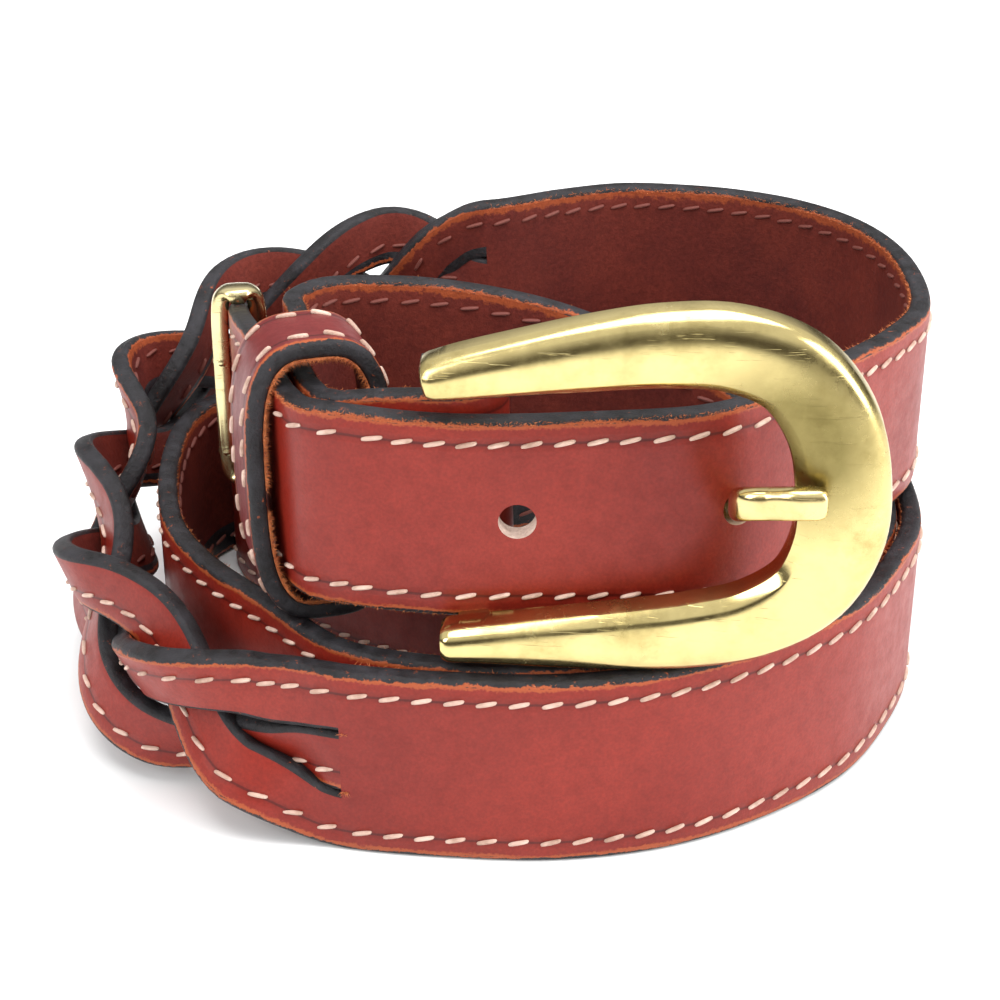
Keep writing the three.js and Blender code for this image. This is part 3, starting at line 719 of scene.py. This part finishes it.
# Stitching
# A row of pale waxed thread beside each long edge, saddle-stitched so that each stitch lies slightly
# slanted between its two holes, on the face and on the back.
STITCH_PITCH = 3.75
STITCH_LENGTH = 2.5
STITCH_WIDTH = 0.58
STITCH_HEIGHT = 0.4
STITCH_SLANT = 13
STITCH_BLUNTNESS = 0.75
STITCH_FULLNESS = 0.45
STITCH_LIFT = 0.02
ROW_START = 2
ROW_END = 1
ROW_STEP = 1.2
POINT_UNSTITCHED = 0.8
THREAD_SHADE = (0.38, 0.23, 0.17)
THREAD_PALE = (0.70, 0.50, 0.41)
BACK_THREAD_BROWN = (0.15, 0.036, 0.025, 1)

thread, tree, shader = new_material("waxed_thread")
place = object_place(tree)
thread_tone = ramp(tree, noise(tree, place, scale=500, detail=3), [(0.3, THREAD_SHADE), (0.7, THREAD_PALE)])
tree.links.new(thread_tone, shader.inputs["Base Color"])
shader.inputs["Roughness"].default_value = 0.6
emboss(tree, shader, noise(tree, place, scale=2200, detail=2), strength=0.6, depth=0.0002)

back_thread, tree, shader = new_material("back_thread")
shader.inputs["Base Color"].default_value = BACK_THREAD_BROWN
shader.inputs["Roughness"].default_value = 0.7

bpy.ops.mesh.primitive_uv_sphere_add(segments=8, ring_count=6, radius=0.5)
pattern_stitch = bpy.context.object
stitch_points = [v.co.copy() for v in pattern_stitch.data.vertices]
stitch_faces = [tuple(p.vertices) for p in pattern_stitch.data.polygons]
bpy.data.objects.remove(pattern_stitch)


def squared(value, power):
    """A sine or cosine brought nearer to its ends, which squares off the round that it draws."""
    return math.copysign(abs(value) ** power, value)


def stitch_row(points, faces, stations, across, side, start, end, lift):
    """Adds the stitches of one row between two lengths to the lists of points and faces."""
    marks = [station.length for station in stations]
    length = start
    index = 0
    slant = -math.tan(math.radians(STITCH_SLANT)) * side
    while length < end:
        while index + 2 < len(marks) and marks[index + 1] < length:
            index += 1
        a, b = stations[index], stations[index + 1]
        share = min(max((length - a.length) / (b.length - a.length), 0), 1)
        up, out, along = a.up.lerp(b.up, share), a.out.lerp(b.out, share), a.along.lerp(b.along, share)
        centre = a.centre.lerp(b.centre, share) + up * across + out * side * lift
        base = len(points)
        for p in stitch_points:
            fullness = max(2 * math.hypot(p.x, p.y), 0.01) ** -STITCH_FULLNESS
            reach = squared(2 * p.z, STITCH_BLUNTNESS) / 2 * STITCH_LENGTH
            sideways = p.x * fullness * STITCH_WIDTH + reach * slant
            height = p.y * fullness * STITCH_HEIGHT * 2
            points.append((centre + along * reach + up * sideways + out * height + FRAME_SHIFT) * MM)
        faces.extend(tuple(base + v for v in face) for face in stitch_faces)
        length += STITCH_PITCH


def stitched_piece(name, points, faces, material):
    """One piece from the lists of points and faces of its stitches or fibres."""
    mesh = bpy.data.meshes.new(name)
    mesh.from_pydata(points, [], faces)
    piece = bpy.data.objects.new(name, mesh)
    bpy.context.collection.objects.link(piece)
    piece.data.materials.append(material)
    bpy.ops.object.select_all(action="DESELECT")
    bpy.context.view_layer.objects.active = piece
    piece.select_set(True)
    bpy.ops.object.mode_set(mode="EDIT")
    bpy.ops.mesh.select_all(action="SELECT")
    bpy.ops.mesh.normals_make_consistent(inside=False)
    bpy.ops.object.mode_set(mode="OBJECT")
    bpy.ops.object.shade_smooth()
    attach(piece, "root")


on_surface = STRAP_THICKNESS / 2 + STITCH_LIFT
row_across = STRAP_WIDTH / 2 - STITCH_INSET
strand_row_across = STRAND_WIDTH / 2 - STITCH_INSET
main_line = [station_at(length) for length in even_lengths(0, BELT_END, ROW_STEP)]

# Stations, place across them, start and end of each row.
STITCH_ROWS = [
    (main_line, row_across, ROW_START, PLAIT_START - ROW_END),
    (main_line, -row_across, ROW_START, PLAIT_START - ROW_END),
    (main_line, row_across, PLAIT_END + ROW_START, BELT_END - TIP_POINT_LENGTH * POINT_UNSTITCHED),
    (main_line, -row_across, PLAIT_END + ROW_START, BELT_END - TIP_POINT_LENGTH * POINT_UNSTITCHED),
    (strands["top"], strand_row_across, PLAIT_START + ROW_START, PLAIT_END - ROW_END),
    (strands["middle"], -strand_row_across, PLAIT_START + ROW_START, PLAIT_END - ROW_END),
    (strands["bottom"], -strand_row_across, PLAIT_START + ROW_START, PLAIT_END - ROW_END),
]
for side, name, side_thread in ((1, "face_stitches", thread), (-1, "back_stitches", back_thread)):
    points, faces = [], []
    for stations, across, start, end in STITCH_ROWS:
        stitch_row(points, faces, stations, across, side, start, end, on_surface)
    stitched_piece(name, points, faces, side_thread)

# Keeper
# A closed loop of the same leather, stitched along both edges, that holds the tip against the buckle
# end. Its grain is painted darker than the strap's as painted shade. Its front rim shows a thick black
# edge with raw orange fibre inside.
KEEPER_WIDTH = 12.5
KEEPER_THICKNESS = 2.2
KEEPER_DEPTH = 18
KEEPER_HEIGHT = 35.4
KEEPER_SLACK = 1.4
KEEPER_CORNER = 0.62
KEEPER_STEPS = 96
KEEPER_FROM_TIP = 46
KEEPER_STITCH_INSET = 2.2
# Painted shade: the keeper's grain colours are the strap's leather made darker.
KEEPER_SHADED_CHESTNUT = (0.13, 0.010, 0.011, 1)
KEEPER_SHADED_RUSSET = (0.21, 0.026, 0.024, 1)


def loop_stations(place, depth, height, inward, corner, steps):
    """Stations round a rounded upright loop about a place on the strap, with their up along the strap."""
    stations = []
    length = 0
    for i in range(steps):
        angle = 2 * math.pi * i / steps
        across = squared(math.cos(angle), corner)
        rise = squared(math.sin(angle), corner)
        normal = Vector((math.cos(angle) / depth, math.sin(angle) / height)).normalized()
        centre = place.centre + place.out * (across * depth / 2 - inward) + place.up * (rise * height / 2)
        out = (place.out * normal.x + place.up * normal.y).normalized()
        if stations:
            length += (centre - stations[-1].centre).length
        stations.append(Station(centre, place.along, out, place.along.cross(out), length))
    return stations


keeper_inward = KEEPER_DEPTH / 2 - KEEPER_THICKNESS - STRAP_THICKNESS / 2 - KEEPER_SLACK
keeper_line = loop_stations(station_at(BELT_END - KEEPER_FROM_TIP), KEEPER_DEPTH - KEEPER_THICKNESS,
                            KEEPER_HEIGHT - KEEPER_THICKNESS, keeper_inward, KEEPER_CORNER, KEEPER_STEPS)
keeper_materials = (
    grain_leather("keeper_grain", KEEPER_WIDTH, KEEPER_SHADED_CHESTNUT, KEEPER_SHADED_RUSSET, RAW_ORANGE,
                  KEEPER_STITCH_INSET),
    flesh_leather("keeper_back", KEEPER_WIDTH, BACK_BROWN, BACK_TAN, RAW_ORANGE),
    edge_paint("keeper_edge", KEEPER_WIDTH, EDGE_BLACK, EDGE_RUBBED_GREY_AND_SHEEN, RAW_ORANGE),
)
keeper = leather_band("keeper", keeper_line, [KEEPER_WIDTH] * KEEPER_STEPS, KEEPER_THICKNESS,
                      keeper_materials, closed=True)
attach(keeper, "root")
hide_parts("keeper_loop")

keeper_round = keeper_line[-1].length
points, faces = [], []
for across in (KEEPER_WIDTH / 2 - KEEPER_STITCH_INSET, KEEPER_STITCH_INSET - KEEPER_WIDTH / 2):
    stitch_row(points, faces, keeper_line, across, 1, ROW_END, keeper_round - ROW_END,
               KEEPER_THICKNESS / 2 + STITCH_LIFT)
stitched_piece("keeper_stitches", points, faces, thread)

# Loose fibres
# Raw fibre stands out of the leather where the paint stops: along the rims of the tip and of the coil's
# edges, round the keeper's front rim, and where the slits of the plait end.
FIBRE_RADIUS = 0.055
FIBRE_SHORTEST = 0.4
FIBRE_SCATTER = 0.05
FIBRE_INSET = 0.3
KEEPER_FIBRE_INSET = 0.2
FREE_BEFORE_KEEPER = 4
SLIT_END_MARKS = (-0.8, -0.4, 0)
LEAN_ACROSS = (-0.3, 0.8)
LEAN_ALONG = (-1, 1)
LEAN_OUT = (0.1, 0.8)
FIBRE_BROWN = (0.42, 0.10, 0.03)
FIBRE_ORANGE = (0.80, 0.27, 0.09)


def fibre_row(points, faces, stations, across, side, start, end, spacing, reach, seed):
    """Short tapering fibres along one rim, leaning at random."""
    chance = random.Random(seed)
    marks = [s for s in stations if start <= s.length <= end]
    for a, b in zip(marks, marks[1:]):
        for _ in range(max(1, round((b.length - a.length) / spacing))):
            root = a.centre.lerp(b.centre, chance.random())
            root = root + a.up * (across * (1 - FIBRE_SCATTER * chance.random())) + a.out * side
            lean_up = math.copysign(chance.uniform(*LEAN_ACROSS), across)
            lean_along = chance.uniform(*LEAN_ALONG)
            lean_out = math.copysign(chance.uniform(*LEAN_OUT), side)
            lean = (a.up * lean_up + a.along * lean_along + a.out * lean_out).normalized()
            tip = root + lean * reach * chance.uniform(FIBRE_SHORTEST, 1)
            base = len(points)
            for k in range(3):
                turn = 2 * math.pi * k / 3
                ring = a.along * math.cos(turn) + a.up * math.sin(turn)
                points.append((root + ring * FIBRE_RADIUS + FRAME_SHIFT) * MM)
            points.append((tip + FRAME_SHIFT) * MM)
            for corners in ((0, 2, 1), (0, 1, 3), (1, 2, 3), (2, 0, 3)):
                faces.append(tuple(base + corner for corner in corners))


fibre, tree, shader = new_material("raw_fibre")
fibre_tone = ramp(tree, noise(tree, object_place(tree), scale=900, detail=3),
                  [(0.35, FIBRE_BROWN), (0.7, FIBRE_ORANGE)])
tree.links.new(fibre_tone, shader.inputs["Base Color"])
shader.inputs["Roughness"].default_value = 0.85

rim = STRAP_WIDTH / 2 - FIBRE_INSET
keeper_rim = KEEPER_WIDTH / 2 - KEEPER_FIBRE_INSET
slit_edge = STRAND_WIDTH / 2
tip_front = BELT_END - FIRST_HOLE_FROM_TIP - 2 * HOLE_SPACING
before_keeper = BELT_END - KEEPER_FROM_TIP - FREE_BEFORE_KEEPER
slit_end = [station_at(PLAIT_START + mark) for mark in SLIT_END_MARKS]

# Stations, place across and out of them, start, end, spacing, reach and seed of each row.
FIBRE_ROWS = (
    (main_line, -rim, 1.1, tip_front, before_keeper, 0.10, 0.7, 11),
    (main_line, rim, 1.15, tip_front, before_keeper, 0.07, 0.8, 12),
    (main_line, rim, 1.2, 0, PLAIT_START, 0.8, 0.5, 16),
    (main_line, rim, -1.2, 0, PLAIT_START, 0.25, 0.8, 13),
    (main_line, rim, -1.2, PLAIT_END, tip_front, 0.15, 0.9, 14),
    (keeper_line, -keeper_rim, -1.0, 0, keeper_round, 0.020, 1.2, 15),
    (slit_end, -slit_edge, 1.3, PLAIT_START - 1, PLAIT_START, 0.03, 1.1, 17),
    (slit_end, slit_edge, 1.3, PLAIT_START - 1, PLAIT_START, 0.06, 0.7, 18),
)
points, faces = [], []
for row in FIBRE_ROWS:
    fibre_row(points, faces, *row)
stitched_piece("loose_fibres", points, faces, fibre)

# Buckle
# A cast horseshoe bow of polished brass with a domed front, bevelled rims and a flat back. Two ears
# behind its ends carry the round bar. It is finely scratched, and worn dull where the prong rests,
# with a painted dark reflection that darkens its colour there.
BUCKLE_LENGTH = 52
BUCKLE_HEIGHT = 44.8
BUCKLE_THICKNESS = 5
BOW_WIDTH = 10.6
BOW_STEP = 1.1
BOW_FINE_STEPS = 800
BOW_TURN_STEPS = 4
BOW_END_TRIM = 2.3
BOW_END_ROUNDING = 1.2
BOW_END_SIZE = 0.72
BOW_END_MARKS = (0, 0.1, 0.3, 0.7)
BAR_INSET = 3.4
BAR_LENGTH = 29
BAR_DROP = 1.0
EAR_ROUNDING = 0.5
EAR_OVER_BOW = 1.2
BUCKLE_TILT = 6.8
BUCKLE_RAISE = 1.1
BUCKLE_YAW = 3
BUCKLE_STANDOFF = 0.7
BUCKLE_GOLD = (0.70, 0.57, 0.25, 1)
DULL_REACH = 0.017
DULL_ALONG = 38
DULL_UP = 6

# The bow's middle line from an end to the crown, as shares of the buckle's length and half its height,
# with its width as a share of the bow's width.
BOW = [
    (0.000, 0.745, 0.42), (0.115, 0.760, 0.52), (0.250, 0.780, 0.64), (0.405, 0.798, 0.76),
    (0.555, 0.800, 0.84), (0.695, 0.755, 0.88), (0.815, 0.605, 0.92), (0.885, 0.330, 0.98),
    (0.903, 0.000, 1.00),
]

# The bow's section from its outer rim over the dome to the flat back, as shares of width and thickness.
BOW_SECTION = [
    (0.500, -0.020), (0.485, -0.120), (0.440, -0.235), (0.390, -0.320), (0.330, -0.375),
    (0.260, -0.420), (0.180, -0.460), (0.090, -0.488), (0.000, -0.500), (-0.090, -0.492),
    (-0.180, -0.472), (-0.265, -0.445), (-0.345, -0.410), (-0.375, -0.380), (-0.455, -0.250),
    (-0.485, -0.200), (-0.500, -0.130), (-0.500, 0.400), (-0.470, 0.470), (-0.400, 0.500),
    (0.400, 0.500), (0.470, 0.470), (0.500, 0.400),
]

# Each ear's shift along the bow, and its lower and upper height at the bow and at the bar.
EARS = (
    ("upper_ear", 1.4, (14.7, 17.6), (12.1, 13.9)),
    ("lower_ear", 0.4, (-17.6, -14.7), (-16.0, -14.2)),
)

plate_back = -(BAR_RADIUS + BAR_SLACK + 2 * STRAP_THICKNESS + TURN_GAP + BUCKLE_STANDOFF)
plate_middle = plate_back - BUCKLE_THICKNESS / 2
buckle_place = (
    Matrix.Translation(bar_centre + Vector((0, 0, BUCKLE_RAISE)))
    @ Matrix.Rotation(math.radians(-BUCKLE_YAW), 4, "Z")
    @ Matrix.Rotation(math.radians(-BUCKLE_TILT), 4, "Y")
)
to_frame = Matrix.Scale(MM, 4) @ Matrix.Translation(FRAME_SHIFT)


def brass(name, tone, shine, scratch, dull_dark_reflection_spot=(0, 0, 9)):
    """Polished brass with fine crossed scratches and cloudy wear; dull about one spot, painted dark there as
    a reflection.
    """
    material, tree, shader = new_material(name)
    place = object_place(tree)
    clouds = noise(tree, place, scale=55, detail=6, roughness=0.65)
    blotches = noise(tree, place, scale=150, detail=6, roughness=0.7)
    speckle = noise(tree, place, scale=900, detail=5, roughness=0.75)
    tarnish = tint(tree, tone, (0.60, 0.58, 0.50, 1))
    dulled = math_node(tree, "MULTIPLY", fade(tree, clouds, start=0.42, end=0.66),
                       fade(tree, blotches, start=0.40, end=0.62))
    colour = mix_colour(tree, dulled, tone, tarnish)
    away = add(tree, "ShaderNodeVectorMath", {"operation": "DISTANCE"})
    tree.links.new(place, away.inputs[0])
    away.inputs[1].default_value = dull_dark_reflection_spot
    near = plus(tree, math_node(tree, "DIVIDE", away.outputs["Value"], DULL_REACH), blotches, share=0.35)
    # Painted dark reflection: the colour is darkened near the spot, and its real dull wear is in the
    # roughness below.
    wear_and_painted_reflection = ramp(tree, near, [(0.50, (0.33, 0.33, 0.28)), (0.95, WHITE)])
    tree.links.new(tint(tree, colour, wear_and_painted_reflection), shader.inputs["Base Color"])
    shader.inputs["Metallic"].default_value = 1
    wear = math_node(tree, "MULTIPLY", fade(tree, clouds, start=0.45, end=0.70), speckle)
    rubbed = fade(tree, near, start=0.45, end=1.0, low=0.30, high=0)
    rough = math_node(tree, "ADD", shine, math_node(tree, "MULTIPLY", wear, 0.38))
    rough = math_node(tree, "ADD", rough, math_node(tree, "MULTIPLY", rubbed, speckle))
    tree.links.new(rough, shader.inputs["Roughness"])
    height = math_node(tree, "MULTIPLY", speckle, 0.10)
    for turn, stretch in ((0.6, 26), (-0.9, 34), (1.5, 22)):
        laid = add(tree, "ShaderNodeMapping", Vector=place)
        laid.inputs["Rotation"].default_value = (0, turn, 0)
        laid.inputs["Scale"].default_value = (1, 1, stretch)
        lines = noise(tree, laid.outputs["Vector"], scale=90, detail=3, roughness=0.7)
        height = plus(tree, height, fade(tree, lines, start=0.66, end=0.69), share=-scratch)
    emboss(tree, shader, height, strength=0.25, depth=0.0001)
    return material


def bow_stations():
    """Stations round the bow, whose up points out of it and whose out points back, with their widths."""
    half = [Vector((along * BUCKLE_LENGTH - BAR_INSET, width * BOW_WIDTH, across * BUCKLE_HEIGHT / 2))
            for along, across, width in BOW]
    other = [Vector((p.x, p.y, -p.z)) for p in reversed(half[:-1])]
    half[0].x += BOW_END_TRIM
    fine = [smooth_curve(half + other, i / BOW_FINE_STEPS) for i in range(BOW_FINE_STEPS + 1)]
    travelled = [0]
    for a, b in zip(fine, fine[1:]):
        travelled.append(travelled[-1] + (b - a).length)
    total = travelled[-1]
    marks = list(BOW_END_MARKS) + even_lengths(BOW_END_ROUNDING, total - BOW_END_ROUNDING, BOW_STEP)
    marks += [total - mark for mark in reversed(BOW_END_MARKS)]
    stations, sizes = [], []
    turn = buckle_place.to_3x3()
    for goal in marks:
        k = next((n for n, distance in enumerate(travelled) if distance >= goal), BOW_FINE_STEPS)
        run = fine[min(k + BOW_TURN_STEPS, BOW_FINE_STEPS)] - fine[max(k - BOW_TURN_STEPS, 0)]
        outward = Vector((-run.z, 0, run.x)).normalized()
        centre = buckle_place @ Vector((fine[k].x, plate_middle, fine[k].z))
        stations.append(Station(centre, turn @ outward, turn @ Vector((0, 1, 0)), None, goal))
        left = min(goal, total - goal, BOW_END_ROUNDING) / BOW_END_ROUNDING
        sizes.append((fine[k].y, mix(BOW_END_SIZE, 1, math.sqrt(1 - (1 - left) ** 2))))
    return stations, sizes


plate_front = plate_middle - BUCKLE_THICKNESS / 2
# The spot where the brass is worn dull and painted darker as a dark reflection.
dull_dark_reflection_spot = to_frame @ buckle_place @ Vector((DULL_ALONG, plate_front, DULL_UP))
buckle_brass = brass("buckle_brass", BUCKLE_GOLD, shine=0.13, scratch=0.5, dull_dark_reflection_spot=dull_dark_reflection_spot)
bow_line, bow_sizes = bow_stations()
bow_outlines = [[(a * width * size, t * BUCKLE_THICKNESS * size, "face") for a, t in BOW_SECTION]
                for width, size in bow_sizes]
bow = bend_grid("buckle_bow", bow_line, bow_outlines)
bow.data.materials.append(buckle_brass)
bpy.ops.object.shade_smooth_by_angle(angle=math.radians(24))
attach(bow, "root")
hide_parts("buckle_frame")

ear_depth = -plate_middle + BAR_RADIUS - EAR_OVER_BOW
for name, sideways, at_bow, at_bar in EARS:
    bpy.ops.mesh.primitive_cube_add(size=1)
    ear = bpy.context.object
    ear.name = name
    for vertex in ear.data.vertices:
        x, y, z = (1 if c > 0 else 0 for c in vertex.co)
        along = (2 * x - 1) * BAR_RADIUS + (0 if y else sideways)
        heights = at_bar if y else at_bow
        vertex.co = (along, BAR_RADIUS - ear_depth * (1 - y), heights[z])
    bpy.ops.object.mode_set(mode="EDIT")
    bpy.ops.mesh.select_all(action="SELECT")
    bpy.ops.mesh.bevel(offset=EAR_ROUNDING, segments=3, affect="EDGES")
    bpy.ops.object.mode_set(mode="OBJECT")
    ear.data.transform(to_frame @ buckle_place)
    bpy.ops.object.shade_smooth_by_angle(angle=math.radians(40))
    ear.data.materials.append(buckle_brass)
    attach(ear, "root")

bpy.ops.mesh.primitive_cylinder_add(vertices=40, radius=BAR_RADIUS, depth=BAR_LENGTH)
bar = bpy.context.object
bar.name = "buckle_bar"
bar.data.transform(to_frame @ buckle_place @ Matrix.Translation((0, 0, -BAR_DROP)))
bpy.ops.object.shade_smooth_by_angle(angle=math.radians(40))
bar.data.materials.append(buckle_brass)
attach(bar, "root")

# Prong
# A bent brass tongue: an eye round the bar, a shank hidden behind the tip, up through the second hole
# and over the bow, where its blunt end rests.
PRONG_WIDTH = 3.8
PRONG_THICKNESS = 2.6
PRONG_EYE_WALL = 2.2
PRONG_OVERHANG = 3.2
PRONG_RISE = Vector((0, -10.6, 5.6))
SHANK_BEND_AT = 0.55
SHANK_BEND = 0.7
SHANK_LIFT = 0.4
PRONG_CORNER = 0.7
PRONG_SIDES = 16
PRONG_STEPS = 90
PRONG_END_STEPS = 5
PRONG_TURN_STEP = 0.004
PRONG_END_SIZE = 0.70
PRONG_GOLD = (0.72, 0.58, 0.27, 1)
PIECE_GAP = 0.3
eye_radius = BAR_RADIUS + PIECE_GAP + PRONG_EYE_WALL / 2
prong_hole = station_at(BELT_END - FIRST_HOLE_FROM_TIP - HOLE_SPACING)
inner_edge = buckle_place @ Vector((
    BOW[-1][0] * BUCKLE_LENGTH - BAR_INSET - BOW_WIDTH / 2,
    plate_front - PRONG_THICKNESS / 2 - PIECE_GAP,
    0,
))
shank_start = bar_centre + Vector((eye_radius, 0, 0))
behind = prong_hole.centre - prong_hole.out * (STRAP_THICKNESS / 2 + PRONG_THICKNESS / 2)
above_hole = prong_hole.centre + PRONG_RISE
prong_path = [
    shank_start,
    shank_start.lerp(behind, SHANK_BEND_AT) + Vector((0, PRONG_THICKNESS * SHANK_BEND, 0)),
    behind + Vector((-PRONG_WIDTH, PRONG_THICKNESS * SHANK_LIFT, 0)),
    prong_hole.centre,
    above_hole,
    above_hole.lerp(inner_edge, 0.5),
    inner_edge,
    inner_edge + Vector((PRONG_OVERHANG, 0, 0)),
]


def brass_outline(width, thickness, corner, sides, turned=0):
    """A round section squared off toward its corners, turned by a share of one side."""
    angles = [2 * math.pi * (k + turned) / sides for k in range(sides)]
    return [(squared(math.cos(a), corner) * width / 2, squared(math.sin(a), corner) * thickness / 2, "face")
            for a in angles]


prong_line, prong_outlines = [], []
for i in range(PRONG_STEPS + 1):
    t = i / PRONG_STEPS
    before = smooth_curve(prong_path, max(t - PRONG_TURN_STEP, 0))
    along = (smooth_curve(prong_path, min(t + PRONG_TURN_STEP, 1)) - before).normalized()
    up = (Vector((0, 0, 1)) - along * along.z).normalized()
    prong_line.append(Station(smooth_curve(prong_path, t), up, up.cross(along), along, i))
    left = min((PRONG_STEPS - i) / PRONG_END_STEPS, 1)
    size = mix(PRONG_END_SIZE, 1, math.sqrt(1 - (1 - left) ** 2))
    prong_outlines.append(brass_outline(size * PRONG_WIDTH, size * PRONG_THICKNESS, PRONG_CORNER,
                                        PRONG_SIDES, turned=0.5))
prong = bend_grid("prong", prong_line, prong_outlines)
prong.data.materials.append(brass("prong_brass", PRONG_GOLD, shine=0.14, scratch=0.4))
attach(prong, "root")
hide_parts("buckle_prong")

bpy.ops.mesh.primitive_torus_add(major_radius=eye_radius, minor_radius=PRONG_EYE_WALL / 2,
                                 major_segments=40, minor_segments=16)
eye = bpy.context.object
eye.name = "prong_eye"
eye.data.transform(Matrix.Diagonal((1, 1, PRONG_WIDTH / PRONG_EYE_WALL, 1)))
eye_place = Matrix.Translation(bar_centre) @ Matrix.Rotation(math.radians(-BUCKLE_TILT), 4, "Y")
eye.data.transform(to_frame @ eye_place)
bpy.ops.object.shade_smooth()
eye.data.materials.append(buckle_brass)
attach(eye, "root")

# Tip loop
# A small brass band bent round the strap just short of its point, closed all round, with two small
# balls on its upright over the strap's face.
LOOP_WIRE = 2.2
LOOP_THICKNESS = 2.3
LOOP_UPRIGHT = 2.3
LOOP_TOP = 4.8
LOOP_DEPTH = 7.4
LOOP_SLACK = 0.7
LOOP_FROM_TIP = 12
LOOP_CORNER = 0.3
LOOP_SECTION_CORNER = 0.6
LOOP_SIDES = 14
LOOP_STEPS = 120
LOOP_GOLD = (0.78, 0.66, 0.36, 1)
BALL_RADIUS = 1.25
BALLS = (("upper_ball", 0.14), ("lower_ball", -0.36))
loop_place = station_at(BELT_END - LOOP_FROM_TIP)
loop_height = width_at(BELT_END - LOOP_FROM_TIP) + LOOP_SLACK + LOOP_WIRE
loop_line = loop_stations(loop_place, LOOP_DEPTH - LOOP_WIRE, loop_height, 0, LOOP_CORNER, LOOP_STEPS)
loop_widths = [mix(LOOP_UPRIGHT, LOOP_TOP, station.out.z ** 2) for station in loop_line]
loop_outlines = [brass_outline(width, LOOP_THICKNESS, LOOP_SECTION_CORNER, LOOP_SIDES)
                 for width in loop_widths]
tip_loop = bend_grid("tip_band", loop_line, loop_outlines, closed=True)
loop_brass = brass("loop_brass", LOOP_GOLD, shine=0.2, scratch=0.3)
tip_loop.data.materials.append(loop_brass)
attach(tip_loop, "root")
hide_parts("tip_loop")

ball_side = loop_place.centre + loop_place.out * (LOOP_DEPTH - LOOP_WIRE) / 2
for name, height in BALLS:
    bpy.ops.mesh.primitive_uv_sphere_add(segments=20, ring_count=12, radius=BALL_RADIUS)
    ball = bpy.context.object
    ball.name = name
    ball.data.transform(to_frame @ Matrix.Translation(ball_side + loop_place.up * loop_height * height))
    bpy.ops.object.shade_smooth()
    ball.data.materials.append(loop_brass)
    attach(ball, "root")
